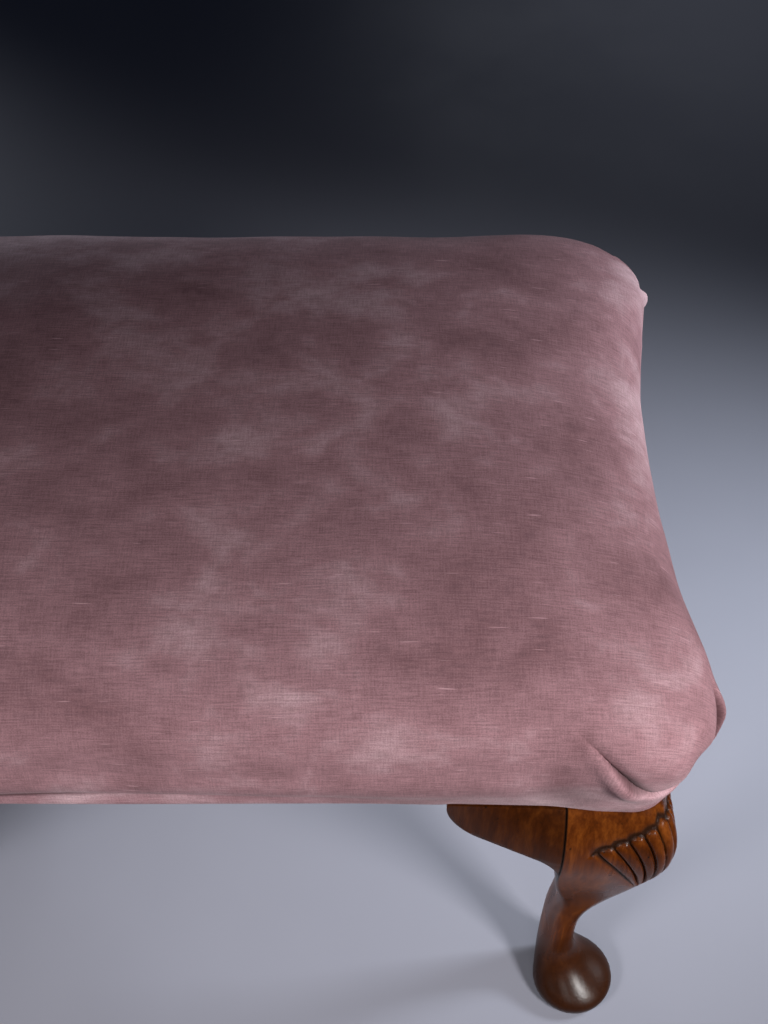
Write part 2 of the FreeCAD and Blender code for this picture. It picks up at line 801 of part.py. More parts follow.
def make_straps():
    """Interlaced webbing, tacked to the tops of the rails."""
    for number, y in enumerate(LONG_STRAP_Y):
        strap = strap_shape(HALF_LENGTH, CROSS_STRAP_X, number % 2 == 0)
        strap.translate(V(0, y, 0))
        holes = [
            tack_hole(V(side * STRAP_TACK_X, place, STRAP_PILE), DOWN)
            for side in SIGNS
            for place in strap_tack_offsets(y)
        ]
        finished(shaped(f"web_long_{number + 1}", strap.cut(Part.makeCompound(holes))))
    for number, x in enumerate(CROSS_STRAP_X):
        strap = strap_shape(HALF_DEPTH, LONG_STRAP_Y, number % 2 == 1)
        strap.rotate(V(0, 0, 0), UP, 90)
        strap.translate(V(x, 0, 0))
        holes = [
            tack_hole(V(place, side * STRAP_TACK_Y, STRAP_PILE), DOWN)
            for side in SIGNS
            for place in strap_tack_offsets(x)
        ]
        finished(shaped(f"web_cross_{number + 1}", strap.cut(Part.makeCompound(holes))))


def make_tacks():
    """Groups of tacks: webbing, cover and dust cover."""
    tack = tack_solid()
    webbing = []
    cover = []
    dust = []
    for side in SIGNS:
        for center in LONG_STRAP_Y:
            for y in strap_tack_offsets(center):
                webbing.append(placed(tack, V(side * STRAP_TACK_X, y, STRAP_PILE), DOWN))
        for center in CROSS_STRAP_X:
            for x in strap_tack_offsets(center):
                webbing.append(placed(tack, V(x, side * STRAP_TACK_Y, STRAP_PILE), DOWN))
        for places, group, inset, z in (
            (LONG_COVER_TACK_X, cover, size("cover_tack_inset"), TURN_UNDER_Z),
            (LONG_DUST_TACK_X, dust, size("dust_tack_inset"), DUST_BOTTOM),
        ):
            for x in places:
                group.append(placed(tack, V(x, side * (HALF_DEPTH - inset), z), UP))
        for places, group, inset, z in (
            (END_COVER_TACK_Y, cover, size("cover_tack_inset"), TURN_UNDER_Z),
            (END_DUST_TACK_Y, dust, size("dust_tack_inset"), DUST_BOTTOM),
        ):
            for y in places:
                group.append(placed(tack, V(side * (HALF_LENGTH - inset), y, z), UP))
    for label, group in (
        ("webbing_tacks", webbing),
        ("cover_tacks", cover),
        ("dust_cover_tacks", dust),
    ):
        finished(shaped(label, Part.makeCompound(group)))


# Soft seat

def seat_outline(z, offset, end_full, long_full, radius):
    """A level of the seat: sides drawn in at their middles and round corners, all tangent.

    offset is how far the middle of each side stands outside the frame. The fullness values say how
    much further out the corners are.
    """
    half_x = HALF_LENGTH + offset
    half_y = HALF_DEPTH + offset
    long_radius = ((half_x + end_full) ** 2 + long_full ** 2) / (2 * long_full)
    end_radius = ((half_y + long_full) ** 2 + end_full ** 2) / (2 * end_full)
    long_center = V(0, half_y + long_radius, 0)
    end_center = V(half_x + end_radius, 0, 0)
    # The corner's centre lies on circles about both centres, a corner radius further out
    to_long = long_radius + radius
    to_end = end_radius + radius
    apart = end_center - long_center
    along = (to_long ** 2 - to_end ** 2 + apart.Length ** 2) / (2 * apart.Length)
    across = math.sqrt(to_long ** 2 - along ** 2)
    unit = V(apart).normalize()
    normal = V(unit.y, -unit.x, 0)
    corner = long_center + unit * along + normal * across
    on_long = corner + (long_center - corner).normalize() * radius
    on_end = corner + (end_center - corner).normalize() * radius
    outward = ((on_long - corner) + (on_end - corner)).normalize()
    on_corner = corner + outward * radius
    quarter = [on_end, on_corner, on_long]
    points = []
    for x_sign, y_sign, order in ((1, 1, 1), (-1, 1, -1), (-1, -1, 1), (1, -1, -1)):
        points.append([V(x_sign * p.x, y_sign * p.y, z) for p in quarter[::order]])
    middles = [V(0, half_y, z), V(-half_x, 0, z), V(0, -half_y, z), V(half_x, 0, z)]
    edges = []
    for number, arc in enumerate(points):
        following = points[(number + 1) % len(points)]
        edges.append(Part.Arc(*arc).toShape())
        edges.append(Part.Arc(arc[2], middles[number], following[0]).toShape())
    return Part.Wire(edges)


def skirt_outline(z, share, inset):
    """A level of the seat's side, share 0 at the hem and 1 at the fullest."""
    rise = math.sin(share * math.pi / 2)
    offset = size("hem_padding") + size("side_bulge") * rise - inset
    end_full = size("end_hem_fullness") + (size("end_fullness") - size("end_hem_fullness")) * share
    long_full = size("long_hem_fullness")
    long_full += (size("long_fullness") - size("long_hem_fullness")) * share
    radius = size("hem_corner_radius")
    radius += (size("corner_radius") - size("hem_corner_radius")) * rise - inset
    return seat_outline(z, offset, end_full, long_full, radius)


def crown_outlines(base, height, inset):
    """Levels of the seat's top, which rises from its fullest outline to a gentle crown."""
    fullest = size("hem_padding") + size("side_bulge") - inset
    half_y = HALF_DEPTH + fullest
    outlines = []
    for angle in CROWN_STEPS:
        reach = math.cos(math.radians(angle)) ** (2 / CROWN_POWER)
        rise = math.sin(math.radians(angle)) ** (2 / CROWN_POWER)
        draw_in = half_y * (1 - reach)
        square = (1 - (size("corner_radius") - inset) / half_y) * reach ** CROWN_SQUARING
        radius = half_y * reach * (1 - square)
        outlines.append(
            seat_outline(
                base + height * rise,
                fullest - draw_in,
                size("end_fullness") * reach ** 2,
                size("long_fullness") * reach ** 2,
                radius,
            )
        )
    return outlines


def seat_form(bottom, inset):
    """The whole seat from a bottom height up, set in from the cover's outside by an inset."""
    edge_z = RAIL_BOTTOM + size("edge_height")
    outlines = []
    for share in SKIRT_STEPS:
        outlines.append(skirt_outline(bottom + (edge_z - bottom) * share, share, inset))
    outlines += crown_outlines(edge_z, size("crown_height") - inset, inset)
    return smooth_solid(outlines)


def stuffing_form(bottom, inset):
    """The stuffing pad over the hessian."""
    top = RAIL_BOTTOM + size("edge_height") + size("crown_height") - inset
    outlines = [skirt_outline(bottom, 1, inset)]
    outlines += crown_outlines(bottom, top - bottom, inset)
    return smooth_solid(outlines)


def frame_box(margin, low, high):
    """A box over the frame's outer faces, grown by a margin."""
    return Part.makeBox(
        2 * (HALF_LENGTH + margin),
        2 * (HALF_DEPTH + margin),
        high - low,
        V(-HALF_LENGTH - margin, -HALF_DEPTH - margin, low),
    )


def cover_shape():
    """Velvet over the seat, turned under the rails between the ears."""
    outside = seat_form(TURN_UNDER_Z, 0)
    inside = seat_form(RAIL_BOTTOM, size("cover_thickness"))
    below = TURN_UNDER_Z - CUT_MARGIN
    opening = frame_box(-size("cover_turn_under"), below, RAIL_TOP)
    cover = outside.cut(inside).cut(opening)
    # The cover stops just above the ears and the knees
    clear_x = SEAM_X - size("ear_length") - size("dust_clearance")
    clear_y = SEAM_Y - size("ear_length") - size("dust_clearance")
    corner = Part.makeBox(
        HALF_LENGTH,
        HALF_DEPTH,
        RAIL_BOTTOM + size("cover_corner_lift") - below,
        V(clear_x, clear_y, below),
    )
    holes = []
    for side in SIGNS:
        for x in LONG_COVER_TACK_X:
            y = side * (HALF_DEPTH - size("cover_tack_inset"))
            holes.append(tack_hole(V(x, y, below), UP))
        for x in LONG_DUST_TACK_X:
            y = side * (HALF_DEPTH - size("dust_tack_inset"))
            holes.append(tack_hole(V(x, y, DUST_BOTTOM), UP))
        for y in END_COVER_TACK_Y:
            x = side * (HALF_LENGTH - size("cover_tack_inset"))
            holes.append(tack_hole(V(x, y, below), UP))
        for y in END_DUST_TACK_Y:
            x = side * (HALF_LENGTH - size("dust_tack_inset"))
            holes.append(tack_hole(V(x, y, DUST_BOTTOM), UP))
    return cover.cut(Part.makeCompound(about_middle(corner) + holes))


def make_soft_seat():
    """Hessian, stuffing, wadding and cover."""
    hessian = finished(doc.addObject("Part::Box", "hessian"))
    hessian.setExpression("Length", "sizes.frame_length - 2 * sizes.hessian_margin")
    hessian.setExpression("Width", "sizes.frame_depth - 2 * sizes.hessian_margin")
    hessian.setExpression("Height", "sizes.hessian_thickness")
    hessian.setExpression("Placement.Base.x", f"sizes.hessian_margin - {F_HALF_LENGTH}")
    hessian.setExpression("Placement.Base.y", f"sizes.hessian_margin - {F_HALF_DEPTH}")
    hessian.setExpression("Placement.Base.z", F_HESSIAN_Z)
    gap = size("layer_gap")
    wadding_inset = size("cover_thickness") + gap
    stuffing_inset = wadding_inset + size("wadding_thickness")
    finished(shaped("stuffing", stuffing_form(STUFFING_Z, stuffing_inset)))
    hollow = frame_box(gap, RAIL_BOTTOM, STUFFING_Z)
    hollow = hollow.fuse(stuffing_form(STUFFING_Z - gap, stuffing_inset - gap))
    hem = frame_box(size("post_size"), RAIL_BOTTOM, RAIL_BOTTOM + size("wadding_hem_gap"))
    wadding = seat_form(RAIL_BOTTOM, wadding_inset).cut(hollow).cut(hem)
    finished(shaped("wadding", wadding))
    finished(shaped("velvet_cover", cover_shape()))


def make_dust_cover():
    """Cloth under the seat, cut round the ears and the legs."""
    edge_x = f"({F_HALF_LENGTH} - sizes.dust_margin)"
    edge_y = f"({F_HALF_DEPTH} - sizes.dust_margin)"
    tip_x = f"({F_SEAM_X} - sizes.ear_length - sizes.dust_clearance)"
    tip_y = f"({F_SEAM_Y} - sizes.ear_length - sizes.dust_clearance)"
    back_x = f"({F_HALF_LENGTH} - sizes.rail_thickness - sizes.dust_clearance)"
    back_y = f"({F_HALF_DEPTH} - sizes.rail_thickness - sizes.dust_clearance)"
    post_x = f"({F_SEAM_X} - sizes.dust_clearance)"
    post_y = f"({F_SEAM_Y} - sizes.dust_clearance)"
    quarter = [
        (edge_x, tip_y),
        (back_x, tip_y),
        (back_x, post_y),
        (post_x, post_y),
        (post_x, back_y),
        (tip_x, back_y),
        (tip_x, edge_y),
    ]
    plan = []
    for x_sign, y_sign, order in (("", "", 1), ("-", "", -1), ("-", "-", 1), ("", "-", -1)):
        plan += [(x_sign + x, y_sign + y) for x, y in quarter[::order]]
    blank = padded_body(
        "dust_cover_blank", ("XY_Plane", plan, None, F_DUST_BOTTOM), "sizes.dust_thickness"
    )
    holes = []
    for side in SIGNS:
        for x in LONG_DUST_TACK_X:
            y = side * (HALF_DEPTH - size("dust_tack_inset"))
            holes.append(tack_hole(V(x, y, DUST_BOTTOM - CUT_MARGIN), UP))
        for y in END_DUST_TACK_Y:
            x = side * (HALF_LENGTH - size("dust_tack_inset"))
            holes.append(tack_hole(V(x, y, DUST_BOTTOM - CUT_MARGIN), UP))
    tool = shaped("dust_cover_tool", Part.makeCompound(holes))
    finished(cut("dust_cover", blank, tool))


make_legs_and_ears()
make_rails()
make_corner_blocks()
make_dowels_and_screws()
make_straps()
make_tacks()
make_soft_seat()
make_dust_cover()
doc.recompute()

for item in doc.Objects:
    if "Invalid" in item.State or "Error" in item.State:
        raise ValueError(f"{item.Label} failed to build")
for piece in sub_parts:
    if piece.Shape.isNull() or not piece.Shape.isValid():
        raise ValueError(f"{piece.Label} has no valid shape")

os.makedirs("parts", exist_ok=True)
for piece in sub_parts:
    piece.Shape.exportStep(f"parts/{piece.Label}.step")
    print(f"{piece.Label}: {len(piece.Shape.Solids)} solids, {piece.Shape.Volume / 1000:.1f} cm3")
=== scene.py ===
"""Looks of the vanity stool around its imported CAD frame. Lengths are in millimetres until a mesh is made."""

import math

import bpy
import numpy as np
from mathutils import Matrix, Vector


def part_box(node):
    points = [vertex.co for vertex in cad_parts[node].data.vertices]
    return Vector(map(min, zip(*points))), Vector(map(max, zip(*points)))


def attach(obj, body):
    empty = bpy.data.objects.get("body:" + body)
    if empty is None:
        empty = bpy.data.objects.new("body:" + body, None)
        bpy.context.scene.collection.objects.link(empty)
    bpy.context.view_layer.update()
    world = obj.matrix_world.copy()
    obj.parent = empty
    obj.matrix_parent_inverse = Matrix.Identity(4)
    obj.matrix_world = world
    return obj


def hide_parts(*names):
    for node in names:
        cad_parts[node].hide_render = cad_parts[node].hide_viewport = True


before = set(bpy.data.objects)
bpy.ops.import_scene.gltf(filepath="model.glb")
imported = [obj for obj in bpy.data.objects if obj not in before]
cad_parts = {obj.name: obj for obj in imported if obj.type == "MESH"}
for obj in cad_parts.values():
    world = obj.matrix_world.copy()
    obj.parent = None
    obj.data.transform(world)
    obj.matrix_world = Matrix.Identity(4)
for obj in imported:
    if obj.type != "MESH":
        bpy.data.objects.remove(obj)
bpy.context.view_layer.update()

METRES = 0.001
BODY = "root"
SIDES = (("front", -1), ("back", 1))
ENDS = (("left", -1), ("right", 1))

# Frame of the seat, as in the part's source
HALF_LENGTH = 327
HALF_DEPTH = 209
POST = 50
SEAM_X = HALF_LENGTH - POST
SEAM_Y = HALF_DEPTH - POST
RAIL_BOTTOM = 325
RAIL_TOP = 385
RAIL_THICKNESS = 28
EAR_LENGTH = 74

# Plain seat, with pairs at the hem and at the fullest level
EDGE_Z = RAIL_TOP
SIDE_UP = EDGE_Z - RAIL_BOTTOM
CROWN_HEIGHT = 82
HEM_PADDING = 3
SIDE_BULGE = 16
END_FULL = (14, 36)
LONG_FULL = (6, 9)
CORNER_RADIUS = (24, 60)
CROWN_POWER = 2 / 2.6
CROWN_SQUARING = 1.35


# Shapes

def smooth_step(low, high, value):
    """0 below low, 1 above high and a soft ramp between them."""
    share = np.clip((value - low) / (high - low), 0, 1)
    return share * share * (3 - 2 * share)


def bell(value, middle, width):
    """1 at the middle, falling off to both sides."""
    return np.exp(-(((value - middle) / width) ** 2))


def hump(value, height, middle, width):
    """A height at the middle, falling off to both sides."""
    return height * bell(value, middle, width)


def uneven(points, spacing, seed):
    """Soft unevenness, about -1 to 1, with bumps about spacing apart."""
    waves = 14
    rng = np.random.default_rng(seed)
    ways = rng.normal(size=(waves, points.shape[-1]))
    ways *= (2 * math.pi / spacing) / np.linalg.norm(ways, axis=1)[:, None]
    ways *= rng.uniform(0.6, 1.4, (waves, 1))
    phases = rng.uniform(0, 2 * math.pi, waves)
    return np.sin(points @ ways.T + phases).sum(-1) / math.sqrt(waves)


def unit(vectors):
    """Vectors at length one."""
    return vectors / np.maximum(np.linalg.norm(vectors, axis=-1, keepdims=True), 1e-9)


def loop_along(points):
    """Ways along closed loops, from the point before each point to the one after."""
    return np.roll(points, -1, -2) - np.roll(points, 1, -2)


def loop_outward(loop):
    """Unit ways out of a flat loop."""
    along = loop_along(loop)
    return unit(np.stack([along[:, 1], -along[:, 0]], -1))


def at_height(flat, height):
    """Points of a flat loop at one height, or at a height for each of them."""
    return np.column_stack([flat, np.broadcast_to(height, len(flat))])


def grid_normals(points):
    """Unit normals of a grid whose rows are loops."""
    return unit(np.cross(loop_along(points), np.gradient(points, axis=0)))


def grid_faces(rows, columns, closed=True):
    """Quads of a grid whose rows are loops, or lines where it isn't closed."""
    row = np.arange(rows - 1)[:, None]
    column = np.arange(columns if closed else columns - 1)[None, :]
    after = (column + 1) % columns
    corners = (
        row * columns + column,
        row * columns + after,
        (row + 1) * columns + after,
        (row + 1) * columns + column,
    )
    return np.stack(corners, -1).reshape(-1, 4).tolist()


def tube_faces(rows, columns):
    """Faces of a tube of loops with both ends closed."""
    faces = grid_faces(rows, columns)
    faces.append(list(range(columns))[::-1])
    faces.append(list(range((rows - 1) * columns, rows * columns)))
    return faces


def turned_over(faces):
    """Faces that look the other way."""
    return [face[::-1] for face in faces]


def new_mesh(name, points, faces):
    """A mesh from points in millimetres."""
    mesh = bpy.data.meshes.new(name)
    mesh.from_pydata((points.reshape(-1, 3) * METRES).tolist(), [], faces)
    return mesh


def add_object(name, data):
    """An object in the scene."""
    item = bpy.data.objects.new(name, data)
    bpy.context.scene.collection.objects.link(item)
    return item


def make_piece(name, points, faces, material, replaces, values=None, uv=None, crease=None):
    """A mesh piece from points in millimetres, riding on the stool's one body."""
    mesh = new_mesh(name, points, faces)
    for key, numbers in (values or {}).items():
        layer = mesh.attributes.new(key, "FLOAT", "POINT")
        layer.data.foreach_set("value", np.ascontiguousarray(numbers, np.float32).ravel())
    if uv is not None:
        corner_points = np.zeros(len(mesh.loops), np.int32)
        mesh.loops.foreach_get("vertex_index", corner_points)
        flat = (uv.reshape(-1, 2) * METRES)[corner_points]
        mesh.uv_layers.new(name="cloth").data.foreach_set("uv", flat.astype(np.float32).ravel())
    mesh.shade_smooth()
    if crease is not None:
        mesh.set_sharp_from_angle(angle=math.radians(crease))
    mesh.materials.append(material)
    piece = add_object(name, mesh)
    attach(piece, BODY)
    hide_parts(*replaces)
    return piece


# Materials

def add_node(tree, kind, inputs=None, **settings):
    """A shader node with its settings, and its inputs set or linked."""
    node = tree.nodes.new(kind)
    for key, value in settings.items():
        setattr(node, key, value)
    for key, value in (inputs or {}).items():
        if isinstance(value, bpy.types.NodeSocket):
            tree.links.new(value, node.inputs[key])
        else:
            node.inputs[key].default_value = value
    return node


def new_material(name, **shader_inputs):
    """A material, its node tree and its Principled shader with inputs set."""
    material = bpy.data.materials.new(name)
    material.use_nodes = True
    tree = material.node_tree
    shader = tree.nodes["Principled BSDF"]
    for key, value in shader_inputs.items():
        shader.inputs[key.replace("_", " ")].default_value = value
    return material, tree, shader


def spots(tree, place, scale, stretch=(1, 1, 1), detail=3, roughness=0.55, distortion=0):
    """Noise over a place, finer with scale and stretched along axes with a small stretch."""
    mapped = add_node(tree, "ShaderNodeMapping", {"Vector": place, "Scale": stretch})
    names = ("Vector", "Scale", "Detail", "Roughness", "Distortion")
    inputs = dict(zip(names, (mapped.outputs["Vector"], scale, detail, roughness, distortion)))
    return add_node(tree, "ShaderNodeTexNoise", inputs).outputs["Fac"]


def ramp(tree, factor, first, last, *between):
    """Colours along a factor, from (place, colour) stops."""
    node = add_node(tree, "ShaderNodeValToRGB", {"Fac": factor})
    elements = node.color_ramp.elements
    for number, (place, color) in enumerate((first, last, *between)):
        element = elements[number] if number < 2 else elements.new(place)
        element.position = place
        element.color = (*color, 1)
    return node.outputs["Color"]


def levels(tree, factor, given, wanted=(0.0, 1.0)):
    """A factor softly spread from a given range to a wanted one."""
    names = ("Value", "From Min", "From Max", "To Min", "To Max")
    inputs = dict(zip(names, (factor, *given, *wanted)))
    return add_node(tree, "ShaderNodeMapRange", inputs, interpolation_type="SMOOTHSTEP").outputs["Result"]


def mix(tree, factor, first, second, blend="MIX"):
    """Two colours mixed by a factor."""
    if isinstance(second, tuple):
        second = (*second, 1)
    inputs = {0: factor, 6: first, 7: second}
    return add_node(tree, "ShaderNodeMix", inputs, data_type="RGBA", blend_type=blend).outputs[2]


def worked_out(tree, operation, *values):
    """A factor worked out from numbers and factors."""
    return add_node(tree, "ShaderNodeMath", dict(enumerate(values)), operation=operation).outputs[0]


def total(tree, *parts):
    """A weighted sum of factors, from (factor, weight) parts."""
    so_far = 0
    for factor, weight in parts:
        so_far = worked_out(tree, "MULTIPLY_ADD", factor, weight, so_far)
    return so_far


def surface(material, tree, shader, color, relief, depth, strength, rough=None):
    """The material with its colour, its relief of a depth in metres and its roughness linked."""
    tree.links.new(color, shader.inputs["Base Color"])
    if rough is not None:
        tree.links.new(rough, shader.inputs["Roughness"])
    inputs = {"Height": relief, "Distance": depth, "Strength": strength}
    bump = add_node(tree, "ShaderNodeBump", inputs)
    tree.links.new(bump.outputs["Normal"], shader.inputs["Normal"])
    return material


def object_place(tree):
    """Places on the object, in metres."""
    return add_node(tree, "ShaderNodeTexCoord").outputs["Object"]


def carried(tree, name):
    """A value that the mesh carries at its points."""
    return add_node(tree, "ShaderNodeAttribute", attribute_name=name).outputs["Fac"]


def velvet_material():
    """Dusty rose linen velvet with a cloudy nap of brush marks, and painted shade in its creases, beside the
    front pleats' lips and over the front hem's roll.
    """
    dark, rose, pale = (0.185, 0.093, 0.103), (0.305, 0.166, 0.184), (0.53, 0.362, 0.388)
    slub_color, crease_shade_color = (0.62, 0.38, 0.41), (0.05, 0.018, 0.021)
    material, tree, shader = new_material(
        "velvet",
        Roughness=0.9,
        Sheen_Weight=0.06,
        Sheen_Roughness=0.38,
        Sheen_Tint=(1.0, 0.93, 0.96, 1),
        Specular_IOR_Level=0.1,
    )
    place = object_place(tree)
    cloth = add_node(tree, "ShaderNodeUVMap", uv_map="cloth").outputs["UV"]
    clouds = spots(tree, place, 6.5, (0.9, 1, 1), detail=4, roughness=0.55, distortion=0.3)
    nap_and_shade = spots(tree, place, 24, (0.8, 1, 1), detail=4, roughness=0.62, distortion=0.3)
    weft = spots(tree, cloth, 1, (65, 1050, 1), detail=2, roughness=0.6)
    slub = spots(tree, cloth, 1, (42, 560, 1), detail=1, roughness=0.5)
    warp = spots(tree, cloth, 1, (1050, 80, 1), detail=2, roughness=0.6)
    pile = spots(tree, cloth, 1100, detail=2)
    tone = total(tree, (clouds, 0.6), (nap_and_shade, 0.4))
    color = ramp(tree, tone, (0.34, dark), (0.67, pale), (0.5, rose))
    threads = total(tree, (weft, 0.4), (warp, 0.25), (pile, 0.35))
    grain = levels(tree, threads, (0.34, 0.66), (0.72, 1.28))
    grey = add_node(tree, "ShaderNodeCombineColor", {0: grain, 1: grain, 2: grain}).outputs[0]
    color = mix(tree, 1.0, color, grey, "MULTIPLY")
    color = mix(tree, levels(tree, slub, (0.7, 0.8), (0, 0.6)), color, slub_color)
    # Painted shade: near-black mixed in by the amount that the cover's mesh carries
    color = mix(tree, levels(tree, carried(tree, "cover_painted_shade"), (0.25, 1.0), (0.0, 0.8)), color, crease_shade_color)
    relief = total(tree, (weft, 0.4), (slub, 0.15), (warp, 0.25), (pile, 0.4))
    return surface(material, tree, shader, color, relief, 0.0009, 0.6)


def beside_plane(tree, place, plane):
    """How far a coordinate is from a plane and its mirror plane."""
    size = worked_out(tree, "ABSOLUTE", place)
    return worked_out(tree, "ABSOLUTE", worked_out(tree, "SUBTRACT", size, plane))


def walnut_material(name, shade):
    """Old polished walnut with painted shade in the carving and a given share of painted shade all over, dark
    along the ears' seams and round the foot.
    """
    dark, brown, pale = (0.018, 0.0042, 0.001), (0.06, 0.0135, 0.002), (0.14, 0.037, 0.005)
    pit_color, carving_shade_color, seam_color = (0.01, 0.004, 0.002), (0.008, 0.0035, 0.002), (0.006, 0.003, 0.002)
    painted_shade_color, foot_color = (0.012, 0.0035, 0.0012), (0.011, 0.0036, 0.0016)
    material, tree, shader = new_material(
        name, Coat_Weight=0.02, Coat_Roughness=0.2, Specular_IOR_Level=0.1
    )
    place = object_place(tree)
    bands = spots(tree, place, 60, (1, 1, 0.06), detail=6, roughness=0.62, distortion=0.6)
    streaks = spots(tree, place, 420, (1, 1, 0.035), detail=3, roughness=0.6)
    patches = spots(tree, place, 16, (1, 1, 0.4), detail=3, distortion=0.4)
    tone = total(tree, (bands, 0.46), (streaks, 0.3), (patches, 0.24))
    color = ramp(tree, tone, (0.37, dark), (0.66, pale), (0.5, brown))
    pits = levels(tree, spots(tree, place, 240, (1, 1, 0.6), detail=2), (0.68, 0.76))
    color = mix(tree, pits, color, pit_color)
    # Painted shade all over, by the given share
    color = mix(tree, shade, color, painted_shade_color)
    axes = add_node(tree, "ShaderNodeSeparateXYZ", {"Vector": place}).outputs
    color = mix(tree, levels(tree, axes["Z"], (0.02, 0.11), (0.93, 0.0)), color, foot_color)
    for axis, plane in (("X", SEAM_X), ("Y", SEAM_Y)):
        off_seam = beside_plane(tree, axes[axis], plane * METRES)
        color = mix(tree, levels(tree, off_seam, (0.0005, 0.0013), (0.92, 0.0)), color, seam_color)
    # Painted shade in the carving's cuts and in the ground round the shell, carried by the leg's mesh
    cuts = levels(tree, carried(tree, "carved"), (0.1, 1.0), (0.0, 0.9))
    color = mix(tree, cuts, color, carving_shade_color)
    rough = total(tree, (levels(tree, patches, (0.3, 0.7), (0.22, 0.34)), 1.0), (cuts, 0.25))
    relief = total(tree, (streaks, 0.6), (bands, 0.4))
    return surface(material, tree, shader, color, relief, 0.0004, 0.5, rough)


def beech_material():
    """Planed beech with short flecks."""
    dark, pale = (0.3, 0.17, 0.075), (0.56, 0.38, 0.2)
    material, tree, shader = new_material("beech")
    place = object_place(tree)
    bands = spots(tree, place, 40, (0.15, 0.6, 1), detail=5, distortion=0.3)
    flecks = spots(tree, place, 500, (0.12, 0.4, 1), detail=2)
    tone = total(tree, (bands, 0.6), (flecks, 0.4))
    color = ramp(tree, tone, (0.35, dark), (0.66, pale))
    rough = levels(tree, flecks, (0.3, 0.7), (0.5, 0.68))
    return surface(material, tree, shader, color, tone, 0.0005, 0.5, rough)


def metal_material(name, dark, light, roughness):
    """Steel with fine uneven tone."""
    material, tree, shader = new_material(name, Metallic=1.0)
    tone = spots(tree, object_place(tree), 900, detail=3)
    color = ramp(tree, tone, (0.3, dark), (0.7, light))
    rough = levels(tree, tone, (0.3, 0.7), roughness)
    return surface(material, tree, shader, color, tone, 0.0002, 0.4, rough)


def woven_material(name, dark, light, scale, depth):
    """A plain weave of uneven threads."""
    material, tree, shader = new_material(name, Roughness=0.9, Sheen_Weight=0.3)
    place = object_place(tree)
    inputs = {"Vector": place, "Scale": scale, "Distortion": 1.2, "Detail": 2, "Detail Scale": 4}
    across, along = [
        add_node(tree, "ShaderNodeTexWave", inputs, bands_direction=axis).outputs["Fac"] for axis in "XY"
    ]
    fibres = spots(tree, place, 300, detail=4)
    relief = total(tree, (across, 0.35), (along, 0.35), (fibres, 0.3))
    color = ramp(tree, relief, (0.25, dark), (0.75, light))
    return surface(material, tree, shader, color, relief, depth, 0.8)


def fibre_material(name, dark, light, scale, depth):
    """Loose matted fibres."""
    material, tree, shader = new_material(name, Roughness=0.95, Sheen_Weight=0.3)
    place = object_place(tree)
    curls = spots(tree, place, scale, detail=6, roughness=0.7, distortion=3)
    lumps = spots(tree, place, scale / 8, detail=3)
    tone = total(tree, (curls, 0.7), (lumps, 0.3))
    color = ramp(tree, tone, (0.3, dark), (0.7, light))
    return surface(material, tree, shader, color, tone, depth, 0.9)


def floor_material():
    """Plain pale paper."""
    dark, light = (0.13, 0.132, 0.16), (0.138, 0.14, 0.169)
    material, tree, shader = new_material("floor_paper")
    tone = spots(tree, object_place(tree), 3, detail=4)
    tree.links.new(ramp(tree, tone, (0.3, dark), (0.7, light)), shader.inputs["Base Color"])
    tree.links.new(levels(tree, tone, (0.3, 0.7), (0.6, 0.7)), shader.inputs["Roughness"])
    return material


VELVET = velvet_material()
WALNUT = walnut_material("walnut", 0.0)
# A darker copy for the ears, with painted shade under the seat's overhang
SHADED_EAR_WALNUT = walnut_material("walnut_ears_shaded", 0.6)
BEECH = beech_material()
SCREW_STEEL = metal_material("screw_steel", (0.4, 0.4, 0.41), (0.62, 0.62, 0.63), (0.25, 0.42))
TACK_STEEL = metal_material("tack_steel", (0.02, 0.023, 0.032), (0.07, 0.078, 0.1), (0.3, 0.5))
WEBBING = woven_material("webbing", (0.2, 0.13, 0.07), (0.5, 0.4, 0.26), 45, 0.0012)
HESSIAN = woven_material("hessian", (0.14, 0.085, 0.04), (0.45, 0.32, 0.17), 30, 0.001)
DUST_CLOTH = woven_material("dust_cloth", (0.004, 0.004, 0.005), (0.03, 0.03, 0.032), 70, 0.0005)
HAIR = fibre_material("stuffing", (0.012, 0.008, 0.006), (0.09, 0.06, 0.042), 160, 0.004)
WADDING = fibre_material("wadding", (0.58, 0.55, 0.5), (0.86, 0.84, 0.8), 70, 0.003)


# Plain seat

